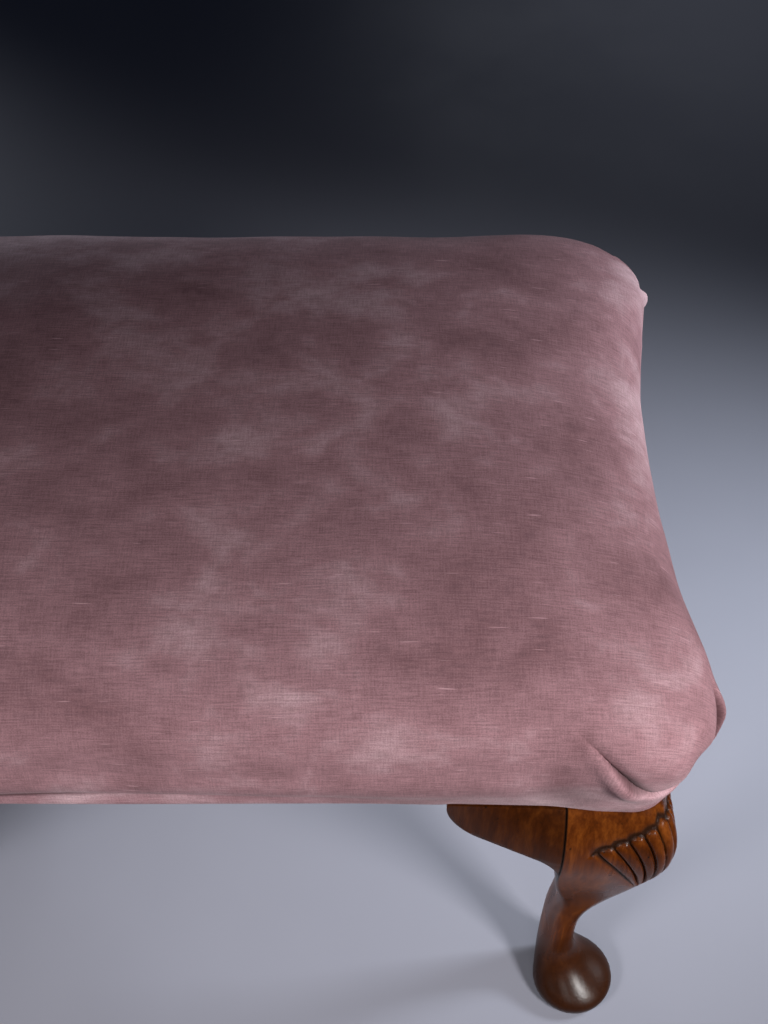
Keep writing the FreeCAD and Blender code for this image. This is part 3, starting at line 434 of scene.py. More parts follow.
def level_quarter(offset, end_full, long_full, radius, long_share, end_share):
    """Points of a level in the +X +Y quarter, from the long side's middle to the end's.

    Also how long the two runs from the corner's middle are.
    """
    half_x = HALF_LENGTH + offset
    half_y = HALF_DEPTH + offset
    long_r = ((half_x + end_full) ** 2 + long_full ** 2) / (2 * long_full)
    end_r = ((half_y + long_full) ** 2 + end_full ** 2) / (2 * end_full)
    long_c = np.array([0, half_y + long_r])
    end_c = np.array([half_x + end_r, 0])
    apart = np.linalg.norm(end_c - long_c)
    toward = (end_c - long_c) / apart
    to_long = long_r + radius
    to_end = end_r + radius
    along = (to_long ** 2 - to_end ** 2 + apart ** 2) / (2 * apart)
    across = math.sqrt(to_long ** 2 - along ** 2)
    corner = long_c + toward * along + np.array([toward[1], -toward[0]]) * across
    to_long_side = math.atan2(*(long_c - corner)[::-1])
    to_end_side = math.atan2(*(end_c - corner)[::-1])
    middle = (to_long_side + to_end_side) / 2
    half_arc = radius * (to_long_side - to_end_side) / 2
    long_angle = math.atan2(corner[0], long_c[1] - corner[1])
    end_angle = math.atan2(corner[1], end_c[0] - corner[0])
    long_run = half_arc + long_r * long_angle
    end_run = half_arc + end_r * end_angle
    way = np.concatenate([-long_share[::-1] * long_run, end_share[1:] * end_run])
    on_corner = middle - np.clip(way, -half_arc, half_arc) / radius
    points = corner + radius * np.stack([np.cos(on_corner), np.sin(on_corner)], -1)
    turn = long_angle + np.minimum(way + half_arc, 0) / long_r
    on_long = long_c + long_r * np.stack([np.sin(turn), -np.cos(turn)], -1)
    turn = end_angle - np.maximum(way - half_arc, 0) / end_r
    on_end = end_c + end_r * np.stack([-np.cos(turn), np.sin(turn)], -1)
    points = np.where((way < -half_arc)[:, None], on_long, points)
    points = np.where((way > half_arc)[:, None], on_end, points)
    return points, long_run, end_run


def skirt_level(share, inset=0):
    """Outline numbers of the seat's side, share 0 at the hem and 1 at the fullest."""
    rise = math.sin(share * math.pi / 2)
    return (
        HEM_PADDING + SIDE_BULGE * rise - inset,
        END_FULL[0] + (END_FULL[1] - END_FULL[0]) * share,
        LONG_FULL[0] + (LONG_FULL[1] - LONG_FULL[0]) * share,
        CORNER_RADIUS[0] + (CORNER_RADIUS[1] - CORNER_RADIUS[0]) * rise - inset,
    )


def crown_level(reach, inset=0):
    """Outline numbers of the seat's top, reach 1 at the fullest and 0 at the crown."""
    fullest = HEM_PADDING + SIDE_BULGE - inset
    half_y = HALF_DEPTH + fullest
    square = (1 - (CORNER_RADIUS[1] - inset) / half_y) * reach ** CROWN_SQUARING
    return (
        fullest - half_y * (1 - reach),
        END_FULL[1] * reach ** 2,
        LONG_FULL[1] * reach ** 2,
        half_y * reach * (1 - square),
    )


def crown_steps(count, height, inset=0, last=0.992, start=0.35):
    """(reach, rise) of the crown's rows, closer together near the edge, and how far up each is."""
    angles = np.linspace(0, math.pi / 2, 4000)
    reach = np.cos(angles) ** CROWN_POWER
    rise = np.sin(angles) ** CROWN_POWER
    half_y = HALF_DEPTH + HEM_PADDING + SIDE_BULGE - inset
    steps = np.hypot(np.diff(half_y * reach), np.diff(height * rise))
    way = np.concatenate([[0], np.cumsum(steps)])
    share = np.linspace(0, 1, count + 1)[1:]
    wanted = way[-1] * last * (start * share + (1 - start) * share ** 2)
    return np.interp(wanted, way, reach), np.interp(wanted, way, rise), wanted


def around(quarter):
    """A whole loop from its +X +Y quarter, from the front's middle by way of the right end."""
    back = quarter[::-1]
    return np.concatenate([quarter * [1, -1], back[1:], quarter[1:] * [-1, 1], back[1:-1] * [-1, -1]])


def loop_values(quarter):
    """Values of a whole loop from those of a quarter."""
    back = quarter[::-1]
    return np.concatenate([quarter, back[1:], quarter[1:], back[1:-1]])


def level_loop(numbers, shares):
    """The whole loop of a level, from its outline numbers and the shares of its two runs."""
    return around(level_quarter(*numbers, *shares)[0])


def cap_faces(start, quarter_points):
    """Faces that close a flattened loop, front to back."""
    span = quarter_points - 1
    count = 4 * span
    faces = []
    for step in range(span):
        for turn in (1, -1):
            a, b = turn * step, turn * (step + 1)
            c, d = turn * (2 * span - step - 1), turn * (2 * span - step)
            loop = [start + number % count for number in (a, b, c, d)]
            face = list(dict.fromkeys(loop))
            faces.append(face if turn == 1 else face[::-1])
    return faces


EVEN = np.linspace(0, 1, 9)
_, LONG_RUN, END_RUN = level_quarter(*skirt_level(1), EVEN, EVEN)


# Pleats, with places as (way from the corner's middle, way up from the hem)
FOLD_LOW = 27
FOLD_LONG = (
    (12, 28), (24, 32), (31.5, 38), (41, 46.5), (50, 57), (57, 67), (62, 78), (66, 90), (71, 104), (76, 115),
)
FOLD_END = (
    (9, 28.5), (15, 33), (19.5, 40), (23, 48), (26, 56), (29, 64), (32.5, 72), (36, 80), (40, 89),
)
# How they fade out near the top of the fold, and away from it
FADE_LONG = (0.5, 0.9)
FADE_END = (0.64, 1.0)
LIP_START = (0.22, 0.45)
PLEAT_REACH = (60, 105)
# Pairs on a long side and on an end
LIP_MIDDLE = -3.8
LIP_LEAST = 1.8
LIP_MORE = (3.4, 4.4)
LIP_WIDTH = (6.5, 5.0)
LIP_EDGE = 3.2
DIP_MIDDLE = -30
DIP_WIDTH = 16
DIP_DEPTH = (1.2, 2.8)
GROOVE_DEPTH = 9.0
GROOVE_WALL = 1.3
GROOVE_SLOPE = 3.0
GROOVE_SLOPE_MORE = (3.0, 1.0)
LOBE_LIFT = 2.2
LOBE_MIDDLE = 15
# Middles and widths of the painted shade along the fold's crease
CREASE_SHADE_MIDDLE = (1.8, -0.6)
CREASE_SHADE_WIDTH = (3.0, 2.8)
CREASE_SHADE_WIDER = (2.4, 0)
# Small gathers inside the fold
GATHER_LIFT, GATHER_SLANT, GATHER_SPACING = 0.9, 0.55, 5.2
GATHER_FROM = (4, 14)
GATHER_UP, GATHER_REACH = 52, 26
# The slides over and under the fold and the painted shade beside the lip below it, with their middles and
# widths
SLIDE_OVER = (3.2, -2.4, 2.6)
SLIDE_UNDER = (-2.6, 2.2, 2.4)
SHADE_BESIDE_LIP = (0.66, -34, 24)
SHADE_BESIDE_FROM, SHADE_BESIDE_TO = (0.15, 0.35), (0.6, 0.97)


def fold_line():
    """The fold from a long side's top round the corner to an end's, and how near a top each point is."""
    count, soft = 320, 11
    stops = [(-way, up) for way, up in FOLD_LONG[::-1]] + [(0, FOLD_LOW)] + list(FOLD_END)
    way, up = np.array(stops, float).T
    along = np.concatenate([[0], np.cumsum(np.hypot(np.diff(way), np.diff(up)))])
    dense = np.linspace(0, along[-1], count)
    low = along[len(FOLD_LONG)]
    kernel = np.hanning(2 * soft + 1)
    kernel /= kernel.sum()
    line = np.stack([np.interp(dense, along, way), np.interp(dense, along, up)], -1)
    for axis in (0, 1):
        line[soft:-soft, axis] = np.convolve(line[:, axis], kernel, "valid")
    share = np.where(dense < low, (low - dense) / low, (dense - low) / (along[-1] - low))
    return line, share


def fold_distance(way, up):
    """How far points are inside the pleats' fold, how far up it, and the way into the fold."""
    block = 20000
    line, share = fold_line()
    here = np.stack([way.ravel(), up.ravel()], -1)
    nearest = np.zeros(len(here), int)
    for first in range(0, len(here), block):
        gaps = ((here[first : first + block, None] - line[None]) ** 2).sum(-1)
        nearest[first : first + block] = gaps.argmin(1)
    tangent = unit(np.gradient(line, axis=0))
    inward = np.stack([-tangent[:, 1], tangent[:, 0]], -1)[nearest]
    off = here - line[nearest]
    distance = np.linalg.norm(off, axis=1)
    side = (off * inward).sum(1)
    depth = np.where(side >= 0, distance, -distance)
    shape = np.shape(way)
    return depth.reshape(shape), share[nearest].reshape(shape), inward.reshape(*shape, 2)


def corner_relief(way, up):
    """Lift off the plain seat at the pleats, the slide along the cloth that folds them, and painted shade in
    their creases and beside a long side's lip.
    """
    depth, share, inward = fold_distance(way, up)
    at_end = way > 0

    def here(pair):
        return np.where(at_end, pair[1], pair[0])

    held = 1 - np.where(at_end, smooth_step(*FADE_END, share), smooth_step(*FADE_LONG, share))
    on_lip = smooth_step(*LIP_START, share) * held
    near = 1 - smooth_step(*PLEAT_REACH, np.abs(depth))
    lip_width = np.where(depth > LIP_MIDDLE, LIP_EDGE, here(LIP_WIDTH))
    lip = (LIP_LEAST + here(LIP_MORE) * on_lip) * bell(depth, LIP_MIDDLE, lip_width) * held
    dip = -here(DIP_DEPTH) * on_lip * bell(depth, DIP_MIDDLE, DIP_WIDTH)
    slope = GROOVE_SLOPE + here(GROOVE_SLOPE_MORE) * on_lip
    groove = np.where(depth > 0, np.exp(-np.maximum(depth, 0) / slope), bell(depth, 0, GROOVE_WALL))
    groove = -GROOVE_DEPTH * groove * held
    rounded = np.maximum(depth, 0) / LOBE_MIDDLE
    lobe = LOBE_LIFT * rounded * np.exp(1 - rounded) * held
    inside = smooth_step(*GATHER_FROM, depth) * held
    gathers = np.cos((way + GATHER_SLANT * (up - FOLD_LOW)) / GATHER_SPACING)
    drawn = GATHER_LIFT * inside * gathers * bell(up, GATHER_UP, GATHER_REACH)
    lift = (lip + dip + groove + lobe + drawn) * near
    slide = hump(depth, *SLIDE_OVER) + hump(depth, *SLIDE_UNDER)
    # Painted shade along the fold's crease
    crease_shade_width = here(CREASE_SHADE_WIDTH) + here(CREASE_SHADE_WIDER) * bell(share, 0.5, 0.2)
    crease = bell(depth, here(CREASE_SHADE_MIDDLE), crease_shade_width) * held
    # Painted shade beside a long side's lip, where the cloth slopes under
    beside_lip = smooth_step(*SHADE_BESIDE_FROM, share) * (1 - smooth_step(*SHADE_BESIDE_TO, share))
    nap_and_shade = np.where(at_end, 0, hump(depth, *SHADE_BESIDE_LIP)) * beside_lip
    return lift, (slide * held * near)[..., None] * inward, np.maximum(crease, nap_and_shade)


# Cover

HEM_ROLL = 3.5
TURN_UNDER = 24
COVER_BOTTOM = 323.4
EAR_GAP = 6
EAR_RAMP = 10
# Over the ears the hem stands higher, and over the legs further out
OVER_LEG = (38, 78)
HEM_RAISED, LEG_HEM_LOWERED = 2.3, 1.9
HEM_OUT, LEG_HEM_OUT = 0.4, 1.8
WOOD_EDGE_Z = 325.6
WOOD_EDGE_RUN = 2
# The roll along the middle of a long side, the hollow above it and the painted shadow over the front's roll,
# with their middles and widths up the side, and their reach along it
ROLL = (2.3, 8, 6.5)
HOLLOW = (-4.8, 25, 10)
ROLL_REACH = 150
ROLL_SHADOW = (0.95, 21, 4)
ROLL_SHADOW_X, ROLL_SHADOW_REACH = -60, 85
# Heights, spacings and seeds of the cover's unevenness
BUMPS = ((0.9, 190, 3), (0.3, 70, 5))
BUMPS_FROM = (4, 60)
HELD_HEM = 7
# Rows of the cover, as shares of the turned-under edge, angles round the hem and counts
TURN_SHARES = (1, 0.7, 0.4, 0.15)
ROLL_ANGLES = (0, 22, 45, 67)
SIDE_ROWS = 54
CROWN_ROWS = 84
FIRST_SIDE_ROW = len(TURN_SHARES) + len(ROLL_ANGLES)
PLAIN_ROWS = FIRST_SIDE_ROW - 2
# Swelling of the sides
SWELL_START = 1.6
SWELL_MOST = 3.2
SWELL_LOW = (6, 45)
SWELL_TOP = (75, 120)
SWELL_FRAMES = 20
HELD_UP = 8


def cover_relief(points, ways, up):
    """Lift of the cover off the plain seat, its slide along the cloth at the pleats, and its painted shade in
    creases and over the front hem's roll.
    """
    lift, slide, crease = corner_relief(ways, up)
    x, y = points[..., 0], points[..., 1]
    roll = hump(up, *ROLL) + hump(up, *HOLLOW)
    lift = lift + np.where(ways < 0, bell(x, 0, ROLL_REACH) * roll, 0)
    # Painted shadow along the top of the front hem's roll
    shadow_over_roll = hump(up, *ROLL_SHADOW) * bell(x, ROLL_SHADOW_X, ROLL_SHADOW_REACH) * (y < 0)
    crease = np.maximum(crease, np.where(ways < 0, shadow_over_roll, 0))
    bumps = sum(height * uneven(points, spacing, seed) for height, spacing, seed in BUMPS)
    lift = lift + smooth_step(*BUMPS_FROM, up) * bumps
    return lift * smooth_step(0, HELD_HEM, up), slide, crease


def simulated(start, faces, held_points):
    """How far a cloth under pressure moves from its start, held at some points."""
    mesh = new_mesh("swelling", start, faces)
    pad = add_object("swelling", mesh)
    held = pad.vertex_groups.new(name="held")
    for number in held_points.tolist():
        held.add([number], 1.0, "REPLACE")
    cloth = pad.modifiers.new("cloth", "CLOTH")
    settings = cloth.settings
    settings.vertex_group_mass = held.name
    settings.quality = 5
    settings.mass = 0.3
    settings.tension_stiffness = settings.compression_stiffness = 25
    settings.shear_stiffness = 10
    settings.bending_stiffness = 2
    settings.use_pressure = True
    settings.uniform_pressure_force = 4
    settings.effector_weights.gravity = 0
    cloth.point_cache.frame_end = SWELL_FRAMES
    for number in range(1, SWELL_FRAMES + 1):
        bpy.context.scene.frame_set(number)
    shaped = pad.evaluated_get(bpy.context.evaluated_depsgraph_get())
    moved = np.zeros(len(mesh.vertices) * 3, np.float32)
    shaped.data.vertices.foreach_get("co", moved)
    bpy.data.objects.remove(pad)
    bpy.data.meshes.remove(mesh)
    bpy.context.scene.frame_set(1)
    return moved.reshape(start.shape) / METRES - start


def swelled(points, normals, ways, up):
    """How a cloth simulation of the stuffed cover, held at its hem and pleats, lifts it.

    A coarse copy starts a little inside the seat and swells under pressure, up to a limit.
    """
    row_step, column_step, smoothings = 3, 4, 6
    count, width = points.shape[:2]
    rows = np.unique(np.append(np.arange(FIRST_SIDE_ROW, count, row_step), count - 1))
    columns = np.arange(0, width, column_step)
    pick = np.ix_(rows, columns)
    # Where the pleats' painted crease shade is strong, the cloth is held
    crease = smooth_step(0.63, 1.0, corner_relief(ways[pick], up[pick])[2])
    on_side = smooth_step(*SWELL_LOW, up[pick]) * (1 - smooth_step(*SWELL_TOP, up[pick]))
    inset = SWELL_START * on_side * (1 - crease)
    start = points[pick] - normals[pick] * inset[..., None]
    faces = grid_faces(len(rows), len(columns))
    faces.append(list(range((len(rows) - 1) * len(columns), len(rows) * len(columns))))
    moved = simulated(start, faces, np.flatnonzero((up[pick] < HELD_UP) | (crease > 0.2)))
    lift = np.clip((moved * normals[pick]).sum(-1), 0, SWELL_MOST) * on_side - inset
    for _ in range(smoothings):
        lift[1:-1] = (lift[:-2] + 2 * lift[1:-1] + lift[2:]) / 4
        lift = (np.roll(lift, 1, 1) + 2 * lift + np.roll(lift, -1, 1)) / 4
    # Spread from the coarse copy over all points
    places = np.append(columns, width)
    wide = np.array([np.interp(np.arange(width), places, np.append(row, row[0])) for row in lift])
    full = np.array([np.interp(np.arange(count), rows, column) for column in wide.T]).T
    full[:FIRST_SIDE_ROW] = 0
    return full


def cover_lines():
    """Ways from a corner's middle along a long side and along an end, closer together at the pleats."""
    fine, fine_reach, long_steps, end_steps = 1.15, 112, 60, 30
    near = np.arange(0, fine_reach, fine)
    long_line = np.concatenate([near, np.linspace(fine_reach, LONG_RUN, long_steps)])
    end_line = np.concatenate([near, np.linspace(fine_reach, END_RUN, end_steps)])
    return long_line, end_line


def cover_rows(way, shares):
    """Loops of the plain cover from its turned-under edge to its crown, and how far up each is."""
    hem = level_loop(skirt_level(0), shares)
    outward = loop_outward(hem)
    # Over the wood of legs and ears the cover ends at its hem
    clear_x = SEAM_X - EAR_LENGTH - EAR_GAP
    clear_y = SEAM_Y - EAR_LENGTH - EAR_GAP
    wood = np.where(
        way < 0,
        smooth_step(clear_x, clear_x + EAR_RAMP, np.abs(hem[:, 0])),
        smooth_step(clear_y, clear_y + EAR_RAMP, np.abs(hem[:, 1])),
    )
    over_leg = 1 - smooth_step(*OVER_LEG, np.abs(way))
    bottom = COVER_BOTTOM + wood * (HEM_RAISED - LEG_HEM_LOWERED * over_leg)
    push = wood * (HEM_OUT + LEG_HEM_OUT * over_leg)
    inward_run = (TURN_UNDER + HEM_PADDING) * (1 - wood) + WOOD_EDGE_RUN * wood

    rows, ups = [], []
    for share in TURN_SHARES:
        flat = hem + outward * (push - HEM_ROLL - inward_run * share)[:, None]
        rows.append(at_height(flat, bottom + (WOOD_EDGE_Z - bottom) * wood * min(1, share * 4)))
        ups.append(0)
    for angle in np.radians(ROLL_ANGLES):
        flat = hem + outward * (push - HEM_ROLL * (1 - math.sin(angle)))[:, None]
        rows.append(at_height(flat, bottom + HEM_ROLL * (1 - math.cos(angle))))
        ups.append(HEM_ROLL * (1 - math.cos(angle)))
    low = bottom + HEM_ROLL
    for share in np.linspace(0, 1, SIDE_ROWS):
        pushed = outward * (push * (1 - smooth_step(0, 0.5, share)))[:, None]
        rows.append(at_height(level_loop(skirt_level(share), shares) + pushed, low + (EDGE_Z - low) * share))
        ups.append(HEM_ROLL + (SIDE_UP - HEM_ROLL) * share)
    for reach, rise, up in zip(*crown_steps(CROWN_ROWS, CROWN_HEIGHT)):
        rows.append(at_height(level_loop(crown_level(reach), shares), EDGE_Z + CROWN_HEIGHT * rise))
        ups.append(SIDE_UP + up)
    return np.array(rows), np.array(ups)


def make_cover():
    """The velvet cover, turned under the rails between the ears."""
    long_line, end_line = cover_lines()
    shares = (long_line / LONG_RUN, end_line / END_RUN)
    way = loop_values(np.concatenate([-long_line[::-1], end_line[1:]]))
    quarter_points = len(long_line) + len(end_line) - 1
    points, ups = cover_rows(way, shares)
    ways, up = np.meshgrid(way, ups)

    # Flat cloth coordinates, with what hangs down the sides laid out beyond the plan
    beyond = loop_outward(level_loop(skirt_level(1), shares))
    middle_reach = np.abs(points[:, 0, 1])
    excess = (ups[-1] - ups) - (middle_reach - middle_reach[-1])
    uv = points[..., :2] + beyond[None] * excess[:, None, None]

    normals = grid_normals(points)
    lift, slide, crease = cover_relief(points, ways, up)
    lift = lift + swelled(points, normals, ways, up)
    lift[:PLAIN_ROWS] = 0
    slide[:PLAIN_ROWS] = 0
    along = unit(loop_along(points))
    upward = np.cross(normals, along)
    turn = around(np.stack([np.ones(quarter_points), -np.ones(quarter_points)], -1)).prod(1)
    points = points + normals * lift[..., None]
    points = points + along * (slide[..., 0] * turn[None])[..., None]
    points = points + upward * slide[..., 1][..., None]

    faces = grid_faces(len(ups), len(way))
    faces += cap_faces((len(ups) - 1) * len(way), quarter_points)
    # How much painted shade each point of the cover gets
    values = {"cover_painted_shade": crease}
    cover = make_piece("velvet_cover_soft", points, faces, VELVET, ["velvet_cover"], values, uv)


# Legs, measured from the inner corner of the post

KNEE_Z = 280
KNEE_OUT = 73.5
# How long the knee's arcs above and below are, and how far they draw in
KNEE_ABOVE = (45, 15.5)
KNEE_BELOW = (21, 2)
EAR_BOTTOM = KNEE_Z - KNEE_BELOW[0]
UNDER_KNEE_OUT = KNEE_OUT - KNEE_BELOW[1]
ANKLE_Z = 75
ANKLE_IN = 8.5
ANKLE_OUT = 36
ANKLE_RADIUS = (ANKLE_OUT - ANKLE_IN) / 2
ANKLE_MIDDLE = (ANKLE_OUT + ANKLE_IN) / 2
SHIN = EAR_BOTTOM - ANKLE_Z
SHIN_HOLLOW = 5.5
FOOT_MIDDLE = 38.3
FOOT_RADIUS = 31.5
FOOT_RIM = 10
SOLE_INSET = 4.5
# Radii of the leg's corners
SHARP = 1
KNEE_CORNER = 14
ANKLE_CORNER = 13.5
INNER_CORNER = 24
INNER_CORNER_TOP = 302
# Points along the parts of a level
FACE_POINTS = 84
CORNER_POINTS = 27
OTHER_POINTS = 9
INNER_POINTS = 15
FIRST_FACE_POINT = 2 * OTHER_POINTS + INNER_POINTS
# Carved shell
SHELL_TIP = 212
SHELL_TOP = 316.5
SHELL_FALL = 23.5
SHELL_HALF = 48.8
SHELL_POWER = 1.17
RIBS = 4.5
CUT_SHARE = 0.24
SCALLOP = 0.016
RIB_CUT, RIB_CREST, RIB_DOME, RIB_END = 2.4, 2.5, 0.8, 1.5
# How deep the ground round the shell's top and edges is, and how far it reaches
TOP_GROUND, TOP_REACH = 2.6, 4.0
EDGE_GROUND, EDGE_REACH = 2.2, 2.8
GROUND_END = (56, 48.5)
# Depths of the carving over which its painted shade grows
CARVING_SHADE_DEPTH = (-0.35, -1.9)


def knee_out(z):
    """How far the knee's faces stand out from the post's inner corner."""
    rise = z - KNEE_Z
    run, drop = KNEE_ABOVE if rise > 0 else KNEE_BELOW
    radius = (run ** 2 + drop ** 2) / (2 * drop)
    return KNEE_OUT - radius + math.sqrt(radius ** 2 - rise ** 2)


def leg_levels():
    """(height, inner face, outer face, radii of the outer, side and inner corners) down the leg."""
    found = [(z, 0, POST, SHARP, SHARP, SHARP) for z in (RAIL_TOP, RAIL_BOTTOM + 0.01)]
    for z in np.arange(RAIL_BOTTOM, EAR_BOTTOM, -0.85):
        rounded = np.interp(z, (EAR_BOTTOM, INNER_CORNER_TOP), (INNER_CORNER, SHARP))
        found.append((z, 0, knee_out(z), KNEE_CORNER, SHARP, rounded))
    knee_slope = 2 * KNEE_BELOW[1] / KNEE_BELOW[0]
    carved, plain = np.arange(0, 0.31, 0.0046), np.linspace(0.315, 1, 50)
    for share in np.concatenate([carved, plain]):
        blend = smooth_step(0, 1, share)
        inner = smooth_step(0, 1, share ** 0.8)
        out = UNDER_KNEE_OUT + (ANKLE_OUT - UNDER_KNEE_OUT) * blend
        out = out - share * (1 - share) ** 2 * knee_slope * SHIN
        low = ANKLE_IN * inner + SHIN_HOLLOW * bell(share, 0.48, 0.22)
        outer_corner = KNEE_CORNER + (ANKLE_CORNER - KNEE_CORNER) * blend
        side_corner = SHARP + (ANKLE_CORNER - SHARP) * inner
        rounded = np.interp(share, (0, 0.1, 0.5, 1), (INNER_CORNER, 26, 20, ANKLE_CORNER))
        found.append((EAR_BOTTOM - SHIN * share, low, out, outer_corner, side_corner, rounded))
    for share in np.linspace(0, 1, 44)[1:]:
        flare = (1 - math.cos(math.pi * share ** 2.7)) / 2
        radius = ANKLE_RADIUS + (FOOT_RADIUS - ANKLE_RADIUS) * flare
        middle = ANKLE_MIDDLE + (FOOT_MIDDLE - ANKLE_MIDDLE) * flare
        corner = (0.982 + 0.016 * share) * radius
        z = ANKLE_Z - (ANKLE_Z - FOOT_RIM) * share
        found.append((z, middle - radius, middle + radius, corner, corner, corner))
    for angle in np.radians(np.linspace(0, 90, 12)[1:]):
        radius = FOOT_RADIUS - SOLE_INSET * (1 - math.cos(angle))
        corner = 0.998 * radius
        z = FOOT_RIM * (1 - math.sin(angle))
        found.append((z, FOOT_MIDDLE - radius, FOOT_MIDDLE + radius, corner, corner, corner))
    return found


def leg_outline(low, high, outer, other, inner):
    """A level of the leg, and how far each point is from the outer corner's middle."""
    def arc(x, y, radius, start, count):
        turn = np.radians(np.linspace(start, start + 90, count))
        return np.stack([x + radius * np.cos(turn), y + radius * np.sin(turn)], -1)

    arcs = [
        arc(low + inner, low + inner, inner, 180, OTHER_POINTS),
        arc(high - other, low + other, other, 270, OTHER_POINTS),
        arc(high - outer, high - outer, outer, 0, CORNER_POINTS),
        arc(low + other, high - other, other, 90, OTHER_POINTS),
    ]
    counts = (INNER_POINTS, FACE_POINTS, FACE_POINTS, INNER_POINTS)
    parts = []
    for here, after, count in zip(arcs, arcs[1:] + arcs[:1], counts):
        share = np.linspace(0, 1, count + 2)[1:-1, None]
        parts += [here, here[-1] + (after[0] - here[-1]) * share]
    loop = np.concatenate(parts)
    steps = np.linalg.norm(np.diff(loop, axis=0), axis=1)
    way = np.concatenate([[0], np.cumsum(steps)])
    middle = FIRST_FACE_POINT + FACE_POINTS + CORNER_POINTS // 2
    return loop, way - way[middle]


def shell_relief(way, z):
    """Lift of the carved shell off the knee, and how much painted shade falls in its cuts and ground."""
    across = np.abs(way)
    up = np.maximum(z - SHELL_TIP, 0.01)
    # The rays' spread depends on the shell's height and that on the spread, so both are found by turns
    spread = across / SHELL_HALF
    for _ in range(12):
        tall = SHELL_TOP - SHELL_FALL * np.clip(spread, 0, 1.4) - SHELL_TIP
        share = up / tall
        spread = 0.5 * spread + 0.5 * across / (SHELL_HALF * np.maximum(share, 0.02) ** SHELL_POWER)
        spread = np.minimum(spread, 3)
    half_here = SHELL_HALF * np.clip(share, 0, 1) ** SHELL_POWER
    # A rib on the knee's ridge and four on each face, parted by cuts
    part = np.mod(spread * RIBS + 0.5, 1)
    part = np.where(spread < 1, part, 0)
    cut = 1 - np.clip(np.minimum(part, 1 - part) / CUT_SHARE, 0, 1)
    crest = 1 - cut ** 2
    dome = 1 - (2 * part - 1) ** 2
    # Rounded rib ends along the scalloped top
    end = 1 + SCALLOP * (dome - 0.6)
    past = (share - end) * tall
    inside = smooth_step(0, 0.9, -past) * smooth_step(1.0, 0.97, spread)
    strength = smooth_step(1.2, 5.0, half_here / RIBS)
    end_roll = np.clip(1 - np.exp(-np.maximum(-past, 0) / RIB_END), 0, 1)
    ribs = ((RIB_CREST * crest + RIB_DOME * dome) * end_roll - RIB_CUT) * strength
    # Ground cut back round the shell
    around_top = -TOP_GROUND * np.exp(-np.maximum(past, 0) / TOP_REACH) * (past > -1.0)
    beside = np.maximum((spread - 1) * half_here, 0)
    around_edge = -EDGE_GROUND * np.exp(-beside / EDGE_REACH) * strength
    ground = np.where((share > 0.9) & (past > -1.0), around_top, around_edge)
    ground = ground * smooth_step(*GROUND_END, across) * smooth_step(1.4, 1.0, spread)
    lift = np.where(spread < 1, inside * ribs + (1 - inside) * ground, ground)
    lift = np.where(z > RAIL_BOTTOM - 0.5, 0, lift)
    lift = lift * smooth_step(SHELL_TIP - 4, SHELL_TIP + 10, z)
    return lift, smooth_step(*CARVING_SHADE_DEPTH, lift)


def make_leg(side, side_sign, end, end_sign):
    """A cabriole leg with a carved knee, mirrored to its corner."""
    loops, ways = [], []
    for z, *outline in leg_levels():
        loop, way = leg_outline(*outline)
        loops.append(at_height(loop, z))
        ways.append(way)
    points = np.array(loops)
    rows, columns = points.shape[:2]
    column = np.arange(columns)
    outside = (column >= FIRST_FACE_POINT) & (column < FIRST_FACE_POINT + 2 * FACE_POINTS + CORNER_POINTS)
    # dark is the painted shade of the carving
    lift, dark = shell_relief(np.array(ways), points[..., 2])
    lift = np.where(outside[None], lift, 0)
    dark = np.where(outside[None], dark, 0)
    points = points - grid_normals(points) * lift[..., None]
    place = np.array([end_sign, side_sign, 1]) * (points + np.array([SEAM_X, SEAM_Y, 0]))
    faces = tube_faces(rows, columns)
    if end_sign * side_sign > 0:
        faces = turned_over(faces)
    node = f"leg_{side}_{end}"
    make_piece(f"{node}_carved", place, faces, WALNUT, [node], {"carved": dark}, crease=50)


# Inside of the seat

SHEET_CREASE = 60
STRAP_THICKNESS = 1.6
STRAP_LIFT = 0.95
STRAP_FOLD = 22
PAD_RUN = np.linspace(0, 1, 61)
PAD_SHARES = (PAD_RUN, PAD_RUN)
PAD_QUARTER = 2 * len(PAD_RUN) - 1
PAD_START = 0.6
PAD_ROWS = 44
STUFFING_INSET = 11.9
STUFFING_BOTTOM = (0.01, 0.25, 0.5, 0.75, 0.92)
WADDING_INSET = 1.9
WADDING_INSIDE = 11.5
WADDING_CLEARANCE = 0.4
WADDING_MOST_IN = 9.4
WADDING_UNDER_TOP = 9.6


def box_of(node):
    """Lowest and highest corner of a CAD node, in millimetres."""
    low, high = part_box(node)
    return np.array(low) / METRES, np.array(high) / METRES


def strap_path(end, crossings, first_over):
    """Middle line of a strap along and up, woven between its crossings and with both ends folded back."""
    half = STRAP_THICKNESS / 2
    heights = [(1 if first_over else -1) * STRAP_LIFT * (-1) ** k for k in range(len(crossings))]
    knots = np.array([-end, -end + RAIL_THICKNESS] + crossings + [end - RAIL_THICKNESS, end])
    knot_heights = np.array([0, 0] + heights + [0, 0])
    run = np.linspace(-end, end, 241)
    spot = np.searchsorted(knots, run, "right").clip(1, len(knots) - 1)
    share = smooth_step(0.3, 0.7, (run - knots[spot - 1]) / (knots[spot] - knots[spot - 1]))
    weave = knot_heights[spot - 1] * (1 - share) + knot_heights[spot] * share
    lower = np.column_stack([run, RAIL_TOP + half + weave])
    turn = np.radians(np.linspace(90, -90, 7))[1:-1]
    bend = np.column_stack([end + half * np.cos(turn), RAIL_TOP + STRAP_THICKNESS + half * np.sin(turn)])
    fold = np.linspace(end - STRAP_FOLD, end, 12)
    back = np.column_stack([fold, np.full(len(fold), RAIL_TOP + 3 * half)])
    return np.concatenate([back * [-1, 1], bend * [-1, 1], lower, bend[::-1], back[::-1]])


